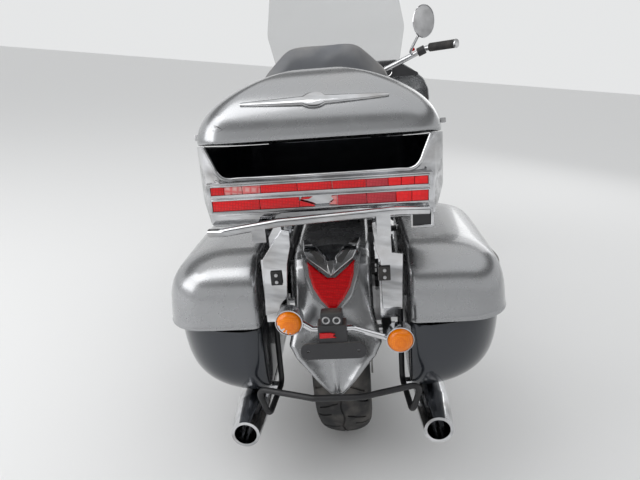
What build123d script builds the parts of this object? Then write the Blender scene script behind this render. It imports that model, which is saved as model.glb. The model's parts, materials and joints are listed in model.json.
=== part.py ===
import os
from math import cos, degrees, radians, sin, sqrt

from build123d import *

os.makedirs("parts", exist_ok=True)

# Frame while drawing: +X forward, +Y left, +Z up, millimetres, bike upright,
# origin on the ground under the rear axle. At the end every piece is leaned
# onto the side stand and moved to the middle of the part's own box.

# Chassis
wheelbase = 1665.0
rake_deg = 30.0
trail = 177.0
lean_deg = 8.3
lock_deg = 28.0
parting_rise_deg = 8.6

# Wheels
rear_radius = 322.0
rear_tyre_width = 170.0
rear_crown_drop = 26.0
front_radius = 320.0
front_tyre_width = 130.0
front_crown_drop = 24.0
bead_radius = 214.0
rim_depth = 16.0
tyre_wall = 13.0
hub_radius = 46.0
spoke_count = 7
spoke_width = 26.0
spoke_depth = 44.0
rear_axle_radius = 12.0
front_axle_radius = 11.0
axle_play = 0.05
disc_thickness = 6.0
front_disc_radius = 155.0
rear_disc_radius = 145.0
pulley_radius = 112.0
front_pulley_radius = 56.0
belt_width = 26.0
belt_thickness = 8.0

# Fork and bars
fork_spacing = 236.0
fork_tube_radius = 21.5
fork_slider_radius = 30.0
stem_radius = 20.0
head_outer_radius = 38.0
stem_play = 0.05
bar_radius = 12.7
grip_radius = 18.0
grip_length = 135.0

# Frame
tube_radius = 15.0
rail_radius = 13.0
backbone_radius = 28.0
rail_height = 150.0
rail_half = 122.0
rail_rear_half = 100.0
rail_front_x = wheelbase - 540
rail_rear_x = 520.0
seat_rail_height = 658.7
seat_rail_half = 128.0
swingarm_inner = 132.0
swingarm_thickness = 30.0
pivot_x = 440.0
pivot_z = 330.0

# Engine
crank_x = 770.0
crank_z = 285.0
vee_deg = 52.0
case_half = 128.0
cylinder_half = 72.0
barrel_start = 118.0
barrel_end = 262.0
head_end = 360.0
fin_thickness = 5.0
fin_pitch = 13.0

# Exhaust
muffler_half_spacing = 254.0
muffler_radius = 46.0
muffler_height = 250.0
muffler_rear_x = -440.0
muffler_front_x = 210.0
muffler_bore = 30.0
pipe_radius = 21.0

# Bodywork
seat_gap = 0.3
shell_wall = 4.0
tank_rear_x = 528.0
tank_front_x = wheelbase - 630
tank_bottom = 748.0
tank_top = 985.0
tank_half = 172.0
seat_front_x = 524.0
seat_step_x = 234.0
seat_rear_x = -85.0
fender_half = 100.0
fender_top = 722.0
fender_flare = 112.0
bag_inner = 190.0
bag_outer = 452.0
bag_bottom = 302.0
bag_top = 706.0
bag_parting = 534.0
bag_rear_x = -392.0
bag_front_x = 222.0
parting_gap = 2.0
trunk_rear_x = -566.0
trunk_front_x = -140.0
trunk_half = 258.0
trunk_bottom = 856.0
trunk_parting = 970.0
trunk_top = 1128.0
lamp_thickness = 24.0
windshield_thickness = 4.0
windshield_lean_deg = 29.5
windshield_top = 1545.0
windshield_half = 330.0
fairing_rear_x = wheelbase - 420
nose_x = fairing_rear_x + 341
fairing_half = 455.0
far = 3000.0

# Side stand, in the upright frame
stand_pivot = Vector(690.0, 172.0, 196.0)
stand_reach = Vector(80.0, 172.0, 0.0)
stand_leg_radius = 13.0
stand_foot_radius = 34.0
stand_foot_thickness = 8.0
plate_hole_spacing = 120.0
plate_hole_radius = 3.5
stand_pin_radius = 8.0
stand_play = 0.06


# Shared axes
neck_lean = radians(rake_deg)
neck_foot = Vector(wheelbase + trail, 0, 0)
neck_dir = Vector(-sin(neck_lean), 0, cos(neck_lean))
neck = Plane(origin=neck_foot, x_dir=(cos(neck_lean), 0, sin(neck_lean)), z_dir=neck_dir)
rear_axle_point = Vector(0, 0, rear_radius)
front_axle_point = Vector(wheelbase, 0, front_radius)
front_axle_offset = neck.to_local_coords(front_axle_point).X
front_axle_height = neck.to_local_coords(front_axle_point).Z
fork_half = fork_spacing / 2


def bar(points, radius, bend=40.0):
    """A round bar through the points, bent at one radius."""
    with BuildPart() as made:
        with BuildLine() as path:
            if len(points) == 2:
                Line(*points)
            else:
                FilletPolyline(*points, radius=bend)
        with BuildSketch(Plane(origin=path.line @ 0, z_dir=path.line % 0)):
            Circle(radius)
        sweep(path=path.line)
    return made.part


def rod(start, end, radius, bore=0.0):
    """A straight round rod, or a tube when it has a bore."""
    start, end = Vector(start), Vector(end)
    with BuildPart() as made:
        with BuildSketch(Plane(origin=start, z_dir=end - start)):
            Circle(radius)
            if bore:
                Circle(bore, mode=Mode.SUBTRACT)
        extrude(amount=(end - start).length)
    return made.part


def slab(low, high):
    """A box from its low corner to its high corner."""
    low, high = Vector(low), Vector(high)
    size = high - low
    with BuildPart() as made:
        with Locations((low + high) / 2):
            Box(size.X, size.Y, size.Z)
    return made.part


def prism(plane, rows, low, high):
    """An outline on a plane, from rows of (across, up, corner radius), extruded from low to high."""
    with BuildPart() as made:
        with BuildSketch(plane.offset(low)):
            with BuildLine():
                FilletPolyline(*[row[:2] for row in rows], radius=[row[2] for row in rows], close=True)
            make_face()
        extrude(amount=high - low)
    return made.part


def three_view(section, plan, side, inset=0.0):
    """The solid whose section, plan and side views are these outlines, drawn in by inset."""
    with BuildPart() as made:
        views = ((Plane.YZ, section), (Plane.XY, plan), (Plane.XZ, side))
        for number, (plane, rows) in enumerate(views):
            with BuildSketch(plane):
                with BuildLine():
                    FilletPolyline(*[row[:2] for row in rows], radius=[row[2] for row in rows], close=True)
                make_face()
                if inset:
                    offset(amount=-inset, kind=Kind.INTERSECTION)
            extrude(amount=far, both=True, mode=Mode.INTERSECT if number else Mode.ADD)
    return made.part


def shell(section, plan, side, wall):
    """A closed skin with these three views."""
    with BuildPart() as made:
        add(three_view(section, plan, side))
        add(three_view(section, plan, side, wall), mode=Mode.SUBTRACT)
    return made.part


def shrunk(rows, wall):
    """An outline whose box is smaller by the wall on every side."""
    low = [min(row[axis] for row in rows) for axis in (0, 1)]
    high = [max(row[axis] for row in rows) for axis in (0, 1)]
    middle = [(low[axis] + high[axis]) / 2 for axis in (0, 1)]
    scale = [1 - 2 * wall / (high[axis] - low[axis]) for axis in (0, 1)]
    return [
        (middle[0] + (across - middle[0]) * scale[0], middle[1] + (up - middle[1]) * scale[1], corner)
        for across, up, corner in rows
    ]


# Wheels
def tyre_ring(centre, radius, width, crown_drop):
    """A hollow tyre about the axle, open at its beads."""
    half = width / 2
    shoulder = half * 0.85
    edge = radius - crown_drop
    bead = half * 0.78
    side_radius = (radius + bead_radius) / 2 - 8
    inner_shoulder = shoulder - tyre_wall * 0.8
    with BuildPart() as made:
        with BuildSketch(Plane(origin=centre, z_dir=(0, 0, 1))):
            with BuildLine():
                ThreePointArc((edge, -shoulder), (radius, 0), (edge, shoulder))
                ThreePointArc((edge, shoulder), (side_radius, half), (bead_radius, bead))
                Line((bead_radius, bead), (bead_radius, bead - tyre_wall))
                ThreePointArc(
                    (bead_radius, bead - tyre_wall),
                    (side_radius, half - tyre_wall),
                    (edge - tyre_wall, inner_shoulder),
                )
                ThreePointArc(
                    (edge - tyre_wall, inner_shoulder),
                    (radius - tyre_wall, 0),
                    (edge - tyre_wall, -inner_shoulder),
                )
                ThreePointArc(
                    (edge - tyre_wall, -inner_shoulder),
                    (side_radius, tyre_wall - half),
                    (bead_radius, tyre_wall - bead),
                )
                Line((bead_radius, tyre_wall - bead), (bead_radius, -bead))
                ThreePointArc((bead_radius, -bead), (side_radius, -half), (edge, -shoulder))
            make_face()
        revolve(axis=Axis(centre, (0, 1, 0)))
    return made.part


def cast_rim(centre, width, hub_half, axle_radius):
    """Barrel, spokes and hub of a cast wheel."""
    barrel_outer = bead_radius - seat_gap
    barrel_half = width * 0.4
    upright = Plane(origin=centre, x_dir=(1, 0, 0), z_dir=(0, 1, 0))
    with BuildPart() as made:
        with BuildSketch(upright.offset(-barrel_half)):
            Circle(barrel_outer)
            Circle(barrel_outer - rim_depth, mode=Mode.SUBTRACT)
        extrude(amount=2 * barrel_half)
        with BuildSketch(upright.offset(-spoke_depth / 2)):
            with PolarLocations((barrel_outer - rim_depth + hub_radius) / 2, spoke_count):
                Rectangle(barrel_outer - rim_depth - hub_radius + 2 * rim_depth, spoke_width)
        extrude(amount=spoke_depth)
        with BuildSketch(upright.offset(-hub_half)):
            Circle(hub_radius)
        extrude(amount=2 * hub_half)
        with BuildSketch(upright.offset(-hub_half)):
            Circle(axle_radius + axle_play)
        extrude(amount=2 * hub_half, mode=Mode.SUBTRACT)
    return made.part


rear_hub_half = 88.0
front_hub_half = 68.0

with BuildPart() as rear_tyre:
    add(tyre_ring(rear_axle_point, rear_radius, rear_tyre_width, rear_crown_drop))

with BuildPart() as rear_rim:
    add(cast_rim(rear_axle_point, rear_tyre_width, rear_hub_half, rear_axle_radius))

with BuildPart() as front_tyre:
    add(tyre_ring(front_axle_point, front_radius, front_tyre_width, front_crown_drop))

with BuildPart() as front_rim:
    add(cast_rim(front_axle_point, front_tyre_width, front_hub_half, front_axle_radius))


def disc(centre, start, thickness, radius, bore):
    """A brake disc or pulley beside its hub, from start outwards along Y."""
    centre = Vector(centre)
    side = 1 if start > 0 else -1
    return rod(
        centre + Vector(0, start, 0),
        centre + Vector(0, start + side * thickness, 0),
        radius,
        bore,
    )


rear_disc_start = -(rear_hub_half + seat_gap)
rear_pulley_start = rear_hub_half + seat_gap
rear_bore = rear_axle_radius + axle_play
front_bore = front_axle_radius + axle_play
with BuildPart() as rear_disc:
    add(disc(rear_axle_point, rear_disc_start, disc_thickness, rear_disc_radius, rear_bore))

with BuildPart() as rear_pulley:
    add(disc(rear_axle_point, rear_pulley_start, belt_width, pulley_radius, rear_bore))

with BuildPart() as front_discs:
    for start in (front_hub_half + seat_gap, -front_hub_half - seat_gap):
        add(disc(front_axle_point, start, disc_thickness, front_disc_radius, front_bore))

# Frame
head_low = 930.0
head_high = 1090.0
head_foot = neck.from_local_coords((0, 0, head_low))
head_end_point = neck.from_local_coords((0, 0, head_high))
neck_x = head_foot.X - 39
with BuildPart() as frame_tubes:
    add(rod(head_foot, head_end_point, head_outer_radius))
    add(
        bar(
            [(neck_x, 0, 856), (tank_front_x - 5, 0, 712), (580, 0, 682), (430, 0, 560)],
            backbone_radius,
            90,
        )
    )
    for side in (1, -1):
        add(
            bar(
                [
                    (neck_x - 20, side * 18, 845),
                    (rail_front_x + 57, side * 108, 520),
                    (rail_front_x, side * rail_half, rail_height),
                    (rail_rear_x, side * rail_rear_half, rail_height),
                    (pivot_x + 22, side * 72, 190),
                    (pivot_x + 2, side * 72, 560),
                    (pivot_x - 68, side * seat_rail_half, seat_rail_height),
                    (-330, side * seat_rail_half, seat_rail_height),
                ],
                tube_radius - 2,
                38,
            )
        )
    add(rod((430, -72, 560), (430, 72, 560), tube_radius))
    pivot_reach = swingarm_inner - seat_gap
    add(rod((pivot_x, -pivot_reach, pivot_z), (pivot_x, pivot_reach, pivot_z), tube_radius))
    add(slab((700, -22, 690), (770, 22, tank_bottom - seat_gap)))
    for x in (-250.0, 20.0):
        for side in (1, -1):
            low, high = sorted((side * (fender_half + seat_gap), side * (bag_inner - seat_gap)))
            add(rod((x, low, seat_rail_height), (x, high, seat_rail_height), 9))
    add(
        rod(head_foot, head_end_point, stem_radius + stem_play),
        mode=Mode.SUBTRACT,
    )

# Rear suspension and drive
arm_outer = swingarm_inner + swingarm_thickness
with BuildPart() as swingarm:
    for side in (1, -1):
        low, high = sorted((side * swingarm_inner, side * arm_outer))
        add(
            prism(
                Plane.XZ,
                [
                    (-48, 300, 12),
                    (-48, 344, 12),
                    (120, 352, 60),
                    (468, 366, 24),
                    (468, 296, 24),
                    (120, 292, 60),
                ],
                -high,
                -low,
            )
        )
    add(slab((352, -swingarm_inner, 306), (392, swingarm_inner, 346)))
    add(
        rod((0, -arm_outer, rear_radius), (0, arm_outer, rear_radius), rear_axle_radius),
        mode=Mode.SUBTRACT,
    )

with BuildPart() as rear_axle:
    add(rod((0, -arm_outer - 14, rear_radius), (0, arm_outer + 14, rear_radius), rear_axle_radius))
    for side in (1, -1):
        low, high = sorted((side * (arm_outer + seat_gap), side * (arm_outer + 12)))
        add(rod((0, low, rear_radius), (0, high, rear_radius), 20))

shock_y = 166.0
with BuildPart() as rear_shocks:
    for side in (1, -1):
        low, high = Vector(70, side * shock_y, 405), Vector(150, side * shock_y, 622)
        add(rod(low, high, 10))
        add(rod(low + (high - low) * 0.1, low + (high - low) * 0.9, 18))
        near, away = sorted((side * (arm_outer - 26), side * (shock_y + 16)))
        add(rod((low.X, near, low.Z), (low.X, away, low.Z), 11))
        near, away = sorted((side * (seat_rail_half + 4), side * (shock_y + 16)))
        add(rod((high.X, near, high.Z), (high.X, away, high.Z), 11))
        near, away = sorted((side * (arm_outer - 24), side * (arm_outer - 4)))
        add(slab((52, near, 351), (88, away, 412)))

front_pulley_x = 556.0
belt_low = rear_pulley_start
belt_high = belt_low + belt_width
with BuildPart() as drive_belt:
    lift = (pulley_radius - front_pulley_radius) / front_pulley_x
    drop = sqrt(1 - lift * lift)
    for grow, mode in ((belt_thickness, Mode.ADD), (seat_gap, Mode.SUBTRACT)):
        rear_loop = pulley_radius + grow
        front_loop = front_pulley_radius + grow
        with BuildSketch(Plane.XZ.offset(-belt_high)):
            with Locations((0, rear_radius)):
                Circle(rear_loop)
            with Locations((front_pulley_x, rear_radius)):
                Circle(front_loop)
            with BuildLine():
                Polyline(
                    (rear_loop * lift, rear_radius + rear_loop * drop),
                    (front_pulley_x + front_loop * lift, rear_radius + front_loop * drop),
                    (front_pulley_x + front_loop * lift, rear_radius - front_loop * drop),
                    (rear_loop * lift, rear_radius - rear_loop * drop),
                    close=True,
                )
            make_face()
        extrude(amount=belt_width, mode=mode)
    sprocket = Vector(front_pulley_x, belt_low, rear_radius)
    add(rod(sprocket, sprocket + Vector(0, belt_width, 0), front_pulley_radius))

with BuildPart() as rear_caliper:
    disc_out = rear_disc_start - disc_thickness
    bridge = rear_radius + rear_disc_radius + 5
    add(slab((-30, disc_out - 20, rear_radius + 88), (66, disc_out - 5, bridge + 14)))
    add(slab((-30, disc_out - 20, bridge), (66, rear_disc_start + 14, bridge + 14)))
    add(slab((40, -swingarm_inner + seat_gap, 330), (66, disc_out - 6, rear_radius + 120)))

# Engine
guard_x = wheelbase - 465
guard_tube = 13.0
vee = radians(vee_deg / 2)
crank = Vector(crank_x, 0, crank_z)
case_bottom = rail_height + tube_radius - 2 + seat_gap
case_top = 405.0

with BuildPart() as crankcase:
    add(
        prism(
            Plane.XZ,
            [
                (622, case_bottom, 30),
                (622, 345, 30),
                (650, case_top, 30),
                (900, case_top, 30),
                (1010, 330, 60),
                (1000, case_bottom, 50),
            ],
            -case_half,
            case_half,
        )
    )
    add(slab((522, -86, 220), (640, 86, 390)))
    add(rod((front_pulley_x, 80, rear_radius), (front_pulley_x, belt_low - seat_gap, rear_radius), 18))

with BuildPart() as engine_covers:
    add(rod((745, -case_half - 46, 292), (745, -case_half - seat_gap, 292), 116))
    add(rod((920, -case_half - 34, 250), (920, -case_half - seat_gap, 250), 56))
    add(rod((840, case_half + seat_gap, 285), (840, case_half + 44, 285), 96))

with BuildPart() as cylinders:
    for tilt in (vee, -vee):
        along = Vector(sin(tilt), 0, cos(tilt))
        deck = Plane(origin=crank, x_dir=(cos(tilt), 0, -sin(tilt)), z_dir=along)
        with BuildSketch(deck.offset(barrel_start)):
            RectangleRounded(2 * cylinder_half - 24, 2 * cylinder_half - 8, 30)
        extrude(amount=head_end - barrel_start - 20)
        for level in range(int((barrel_end - barrel_start - 20) / fin_pitch)):
            with BuildSketch(deck.offset(barrel_start + 32 + level * fin_pitch)):
                RectangleRounded(2 * cylinder_half, 2 * cylinder_half + 20, 34)
            extrude(amount=fin_thickness)
        with BuildSketch(deck.offset(barrel_end + 6)):
            RectangleRounded(2 * cylinder_half - 4, 2 * cylinder_half + 14, 28)
        extrude(amount=head_end - barrel_end - 36)
        with BuildSketch(deck.offset(head_end - 30)):
            RectangleRounded(2 * cylinder_half - 26, 2 * cylinder_half - 6, 30)
        extrude(amount=30)
    add(slab((500, -200, 100), (1100, 200, case_top + seat_gap)), mode=Mode.SUBTRACT)

intake_z = 520.0
with BuildPart() as air_cleaner:
    add(rod((crank_x, -172, intake_z), (crank_x, -cylinder_half - 28, intake_z), 74))
    throat = (intake_z - crank_z) * sin(vee) - cylinder_half - seat_gap
    add(rod((crank_x, -cylinder_half - 30, intake_z), (crank_x, 10, intake_z), throat))

with BuildPart() as radiator:
    add(slab((guard_x - 50, -96, 250), (guard_x - 10, 96, 478)))


guard_radius = 8.0
carrier_y = 176.0


# Exhaust
def muffler(side):
    """A long round muffler with an open tip."""
    rear = Vector(muffler_rear_x, side * muffler_half_spacing, muffler_height)
    front = Vector(muffler_front_x, side * muffler_half_spacing, muffler_height)
    with BuildPart() as made:
        with BuildSketch(Plane(origin=rear, z_dir=(1, 0, 0))):
            Circle(muffler_radius - 8)
        with BuildSketch(Plane(origin=rear + Vector(110, 0, 0), z_dir=(1, 0, 0))):
            Circle(muffler_radius)
        loft()
        add(rod(rear + Vector(110, 0, 0), front - Vector(90, 0, 0), muffler_radius))
        with BuildSketch(Plane(origin=front - Vector(90, 0, 0), z_dir=(1, 0, 0))):
            Circle(muffler_radius)
        with BuildSketch(Plane(origin=front, z_dir=(1, 0, 0))):
            Circle(pipe_radius + 3)
        loft()
        near = carrier_y + guard_radius + seat_gap
        low, high = sorted((side * near, side * (muffler_half_spacing - 38)))
        add(slab((-262, low, muffler_height + 12), (-238, high, muffler_height + 32)))
        add(rod(rear, rear + Vector(160, 0, 0), muffler_bore), mode=Mode.SUBTRACT)
    return made.part


port_y = cylinder_half + 7 + seat_gap
with BuildPart() as exhaust_right:
    add(muffler(-1))
    add(
        bar(
            [
                (muffler_front_x - 10, -muffler_half_spacing, muffler_height),
                (330, -muffler_half_spacing, muffler_height - 4),
                (440, -214, 188),
                (620, -214, 180),
                (985, -214, 188),
                (1080, -205, 320),
                (1040, -190, 500),
                (905, -150, 550),
                (905, -port_y, 550),
            ],
            pipe_radius,
            45,
        )
    )
    rear_header = [(520, -214, 184), (520, -214, 440), (641, -150, 550), (641, -port_y, 550)]
    add(bar(rear_header, pipe_radius - 2, 32))

with BuildPart() as exhaust_left:
    add(muffler(1))
    add(
        bar(
            [
                (muffler_front_x - 10, muffler_half_spacing, muffler_height),
                (320, muffler_half_spacing, 236),
                (386, 200, 180),
                (386, -150, 180),
            ],
            pipe_radius,
            34,
        )
    )

# Tank and seats
tank_side = [
    (tank_rear_x, tank_bottom, 25),
    (tank_rear_x, 830, 50),
    (650, 930, 160),
    (850, tank_top, 200),
    (1010, 945, 70),
    (tank_front_x, tank_bottom, 40),
]
tank_plan = [
    (tank_front_x, 110, 60),
    (860, tank_half, 200),
    (640, 140, 200),
    (tank_rear_x, 80, 40),
    (tank_rear_x, -80, 40),
    (640, -140, 200),
    (860, -tank_half, 200),
    (tank_front_x, -110, 60),
]
tank_section = [
    (-95, tank_bottom, 20),
    (-tank_half, 800, 60),
    (-150, 920, 90),
    (-70, tank_top, 60),
    (70, tank_top, 60),
    (150, 920, 90),
    (tank_half, 800, 60),
    (95, tank_bottom, 20),
]
with BuildPart() as fuel_tank:
    add(three_view(tank_section, tank_plan, tank_side))

seat_bottom = seat_rail_height + tube_radius - 2 + seat_gap
rider_section = [
    (-172, seat_bottom, 12),
    (-184, seat_bottom + 48, 24),
    (-150, seat_bottom + 118, 40),
    (150, seat_bottom + 118, 40),
    (184, seat_bottom + 48, 24),
    (172, seat_bottom, 12),
]
rider_plan = [
    (seat_step_x, -180, 30),
    (380, -184, 60),
    (seat_front_x, -88, 40),
    (seat_front_x, 88, 40),
    (380, 184, 60),
    (seat_step_x, 180, 30),
]
rider_side = [
    (seat_step_x, seat_bottom, 10),
    (seat_step_x, seat_bottom + 128, 10),
    (seat_step_x + 28, seat_bottom + 98, 30),
    (seat_step_x + 146, seat_bottom + 58, 160),
    (seat_front_x, seat_bottom + 76, 20),
    (seat_front_x, seat_bottom, 10),
]
with BuildPart() as rider_seat:
    add(three_view(rider_section, rider_plan, rider_side))

pillion_bottom = fender_top + seat_gap
pillion_front_x = seat_step_x - 2
pillion_section = [
    (-150, pillion_bottom, 12),
    (-165, 780, 24),
    (-140, 838, 30),
    (140, 838, 30),
    (165, 780, 24),
    (150, pillion_bottom, 12),
]
pillion_plan = [
    (seat_rear_x, -160, 40),
    (pillion_front_x, -165, 60),
    (pillion_front_x, 165, 60),
    (seat_rear_x, 160, 40),
]
pillion_side = [
    (seat_rear_x, pillion_bottom, 10),
    (seat_rear_x, 832, 20),
    (100, 832, 90),
    (200, 858, 20),
    (pillion_front_x, 840, 10),
    (pillion_front_x, pillion_bottom, 10),
]
with BuildPart() as passenger_seat:
    add(three_view(pillion_section, pillion_plan, pillion_side))

pad_rear_x = -98.0
pad_thickness = 62.0
with BuildPart() as backrest:
    add(
        prism(
            Plane.YZ,
            [
                (-150, 846, 30),
                (-188, 1000, 60),
                (-186, 1140, 50),
                (-95, 1226, 60),
                (95, 1226, 60),
                (186, 1140, 50),
                (188, 1000, 60),
                (150, 846, 30),
            ],
            pad_rear_x,
            pad_rear_x + pad_thickness,
        )
    )
    add(slab((trunk_front_x + seat_gap, -90, 880), (pad_rear_x, 90, 940)))

with BuildPart() as side_covers:
    for side in (1, -1):
        low, high = sorted((side * 150, side * 176))
        add(
            prism(
                Plane.XZ,
                [
                    (252, 420, 30),
                    (252, seat_rail_height - 11, 20),
                    (500, seat_rail_height - 3, 20),
                    (520, seat_rail_height - 59, 30),
                    (470, 400, 40),
                ],
                -high,
                -low,
            )
        )
        low, high = sorted((side * (seat_rail_half + tube_radius - 4 + seat_gap), side * 151))
        add(slab((300, low, seat_rail_height - 25), (330, high, seat_rail_height - 7)))

# Rear fender and what it carries
lamp_low = Vector(-395, 0, 584)
lamp_high = Vector(-341, 0, 696)
lamp_up = (lamp_high - lamp_low).normalized()
lamp_face = Plane(origin=lamp_low, x_dir=(0, -1, 0), z_dir=(-lamp_up.Z, 0, lamp_up.X))
fender_side = [
    (228, 650, 10),
    (228, fender_top - 14, 12),
    (60, fender_top, 200),
    (-292, fender_top, 40),
    (lamp_high.X, lamp_high.Z, 20),
    (lamp_low.X, lamp_low.Z, 90),
    (-455, 392, 6),
    (-446, 384, 4),
    (-380, 470, 60),
    (-300, 530, 60),
    (150, 610, 60),
]
fender_view = [
    (-14, 376, 8),
    (-fender_flare, 492, 14),
    (-fender_half, 570, 60),
    (-fender_half, fender_top - 32, 30),
    (-78, fender_top, 24),
    (78, fender_top, 24),
    (fender_half, fender_top - 32, 30),
    (fender_half, 570, 60),
    (fender_flare, 492, 14),
    (14, 376, 8),
]
fender_plan = [(238, -150, 5), (-480, -150, 5), (-480, 150, 5), (238, 150, 5)]
fender_inside_side = [
    (240, 560, 5),
    (240, fender_top - 14 - shell_wall, 12),
    (60, fender_top - shell_wall, 200),
    (-290, fender_top - shell_wall, 36),
    (lamp_high.X + 5, lamp_high.Z - 3, 20),
    (lamp_low.X + 5, lamp_low.Z, 90),
    (-449, 389, 5),
    (-425, 340, 5),
]
fender_inside_view = [
    (-10, 300, 4),
    (-10, 381, 4),
    (shell_wall + 1 - fender_flare, 494, 10),
    (shell_wall - fender_half, 571, 60),
    (shell_wall - fender_half, fender_top - 34, 26),
    (-76, fender_top, 20),
    (76, fender_top, 20),
    (fender_half - shell_wall, fender_top - 34, 26),
    (fender_half - shell_wall, 571, 60),
    (fender_flare - shell_wall - 1, 494, 10),
    (10, 381, 4),
    (10, 300, 4),
]
fender_inside_plan = [(240, -130, 2), (-480, -130, 2), (-480, 130, 2), (240, 130, 2)]
with BuildPart() as rear_fender:
    add(three_view(fender_view, fender_plan, fender_side))
    add(three_view(fender_inside_view, fender_inside_plan, fender_inside_side), mode=Mode.SUBTRACT)

lamp_outline = [
    (-60, 122, 4),
    (-10, 78, 3),
    (10, 78, 3),
    (60, 122, 4),
    (47, 52, 14),
    (7, 0, 5),
    (-7, 0, 5),
    (-47, 52, 14),
]
with BuildPart() as tail_lamp:
    add(prism(lamp_face, lamp_outline, seat_gap, lamp_thickness))

with BuildPart() as plate_bracket:
    add(prism(Plane.YZ, [(-78, 500, 18), (-78, 542, 18), (78, 542, 18), (78, 500, 18)], -494, -489))
    with BuildSketch(Plane.YZ.offset(-520)):
        with Locations((-plate_hole_spacing / 2, 521), (plate_hole_spacing / 2, 521)):
            Circle(plate_hole_radius)
    extrude(amount=40, mode=Mode.SUBTRACT)
    add(slab((-490, -34, 505), (-450, 34, 586)))
    bracket_x = [lamp_low.X - (lamp_low.Z - z) * 60 / 192 - seat_gap for z in (520, 560)]
    add(
        prism(
            Plane.XZ,
            [(-452, 520, 1), (-452, 560, 1), (bracket_x[1], 560, 1), (bracket_x[0], 520, 1)],
            -22,
            22,
        )
    )

signal_radius = 30.0
signal_face_x = -474.0
signal_places = ((1, 103, 590), (-1, 160, 534))
with BuildPart() as signal_stalks:
    for side, away, height in signal_places:
        start = Vector(-466, side * (34 + seat_gap), 566)
        end = Vector(-456, side * (away - signal_radius + 8), height - 6)
        add(bar([start, start + Vector(0, side * 14, 0), end], 8, 8))
        back = Vector(signal_face_x + 32, side * away, height)
        add(rod(back, back - Vector(32, 0, 0), signal_radius + 3))

with BuildPart() as rear_signals:
    for side, away, height in signal_places:
        face = Vector(signal_face_x - seat_gap, side * away, height)
        add(rod(face, face - Vector(18, 0, 0), signal_radius))

half_guard = [
    (-476, 60, 380),
    (-412, 215, 372),
    (-412, 190, 288),
    (-250, carrier_y, 286),
    (-250, carrier_y, seat_rail_height - 9 - seat_gap),
]
with BuildPart() as rear_guard:
    add(bar([(x, -y, z) for x, y, z in reversed(half_guard)] + half_guard, guard_radius, 24))

# Trunk rack
post_x = -400.0
post_step = 726.0
rack_top = trunk_bottom - seat_gap
rail_back_x = trunk_rear_x - 30
rail_back_z = {1: trunk_bottom + 14, -1: trunk_bottom + 28}
with BuildPart() as trunk_rack:
    for side in (1, -1):
        low, high = sorted((side * 118, side * 168))
        add(slab((post_x - 4, low, 560), (post_x + 4, high, post_step)))
        low, high = sorted((side * 110, side * 142))
        add(slab((post_x - 6, low, post_step - 8), (post_x + 6, high, rack_top)))
        low, high = sorted((side * 116, side * 146))
        add(slab((post_x - 12, low, post_step - 62), (post_x - 4, high, post_step - 22)))
        low, high = sorted((side * 112, side * 140))
        add(slab((rail_back_x - 7, low, rack_top - 18), (-120, high, rack_top)))
        add(slab((rail_back_x - 7, low, rack_top - 18), (rail_back_x + 7, high, rail_back_z[side])))
        low, high = sorted((side * 118, side * 138))
        add(slab((-170, low, seat_rail_height + tube_radius - 2 + seat_gap), (-146, high, rack_top)))
        low, high = sorted((side * (seat_rail_half + 6), side * 164))
        add(slab((post_x, low, seat_rail_height - 8), (-331, high, seat_rail_height + 8)))
    add(slab((-250, -130, rack_top - 18), (-222, 130, rack_top)))
    add(
        bar(
            [
                (rail_back_x + 16, 232, trunk_bottom + 1),
                (rail_back_x, 200, trunk_bottom + 5),
                (rail_back_x, 85, trunk_bottom + 20),
                (rail_back_x, -148, trunk_bottom + 32),
                (rail_back_x + 14, -218, trunk_bottom + 26),
            ],
            9,
            24,
        )
    )

# Trunk
trunk_section = [
    (-trunk_half + 34, trunk_bottom - 10, 30),
    (-trunk_half - 4, trunk_bottom + 74, 60),
    (-trunk_half - 4, trunk_parting + 32, 40),
    (-198, trunk_parting + 114, 120),
    (-60, trunk_top + 4, 300),
    (60, trunk_top + 4, 300),
    (198, trunk_parting + 114, 120),
    (trunk_half + 4, trunk_parting + 32, 40),
    (trunk_half + 4, trunk_bottom + 74, 60),
    (trunk_half - 34, trunk_bottom - 10, 30),
]
trunk_plan = [
    (trunk_rear_x, -222, 50),
    (-500, -trunk_half, 70),
    (trunk_front_x - 60, -trunk_half, 60),
    (trunk_front_x, -200, 50),
    (trunk_front_x, 200, 50),
    (trunk_front_x - 60, trunk_half, 60),
    (-500, trunk_half, 70),
    (trunk_rear_x, 222, 50),
]
trunk_side = [
    (trunk_rear_x + 30, trunk_bottom, 24),
    (trunk_rear_x, trunk_bottom + 36, 20),
    (trunk_rear_x, trunk_parting + 30, 34),
    (-500, trunk_parting + 122, 70),
    (-360, trunk_top, 160),
    (-250, trunk_parting + 108, 50),
    (trunk_front_x, trunk_parting, 8),
    (trunk_front_x, trunk_bottom, 20),
]
# The tub's own top lies well above the parting that cuts it
tub_over = trunk_parting + 130
tub_section = [
    (-trunk_half + 34, trunk_bottom - 10, 30),
    (-trunk_half - 4, trunk_bottom + 74, 60),
    (-trunk_half - 4, tub_over, 5),
    (trunk_half + 4, tub_over, 5),
    (trunk_half + 4, trunk_bottom + 74, 60),
    (trunk_half - 34, trunk_bottom - 10, 30),
]
tub_side = [
    (trunk_rear_x + 30, trunk_bottom, 24),
    (trunk_rear_x, trunk_bottom + 36, 20),
    (trunk_rear_x + 4, tub_over - 8, 5),
    (trunk_front_x, tub_over - 8, 5),
    (trunk_front_x, trunk_bottom, 20),
]
notch_low = 198.0
notch_high = 258.0
notch_bottom = trunk_bottom + 110
hinge_pin = 5.0
hinge_knuckle = 9.0
hinge_play = 0.05
lid_hinge = Vector(trunk_front_x + hinge_knuckle + 2, 0, trunk_parting + 1)
parting_rise = radians(parting_rise_deg)
tub_rim = Plane(origin=lid_hinge, z_dir=(sin(parting_rise), 0, cos(parting_rise))).offset(-1 - parting_gap)
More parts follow.
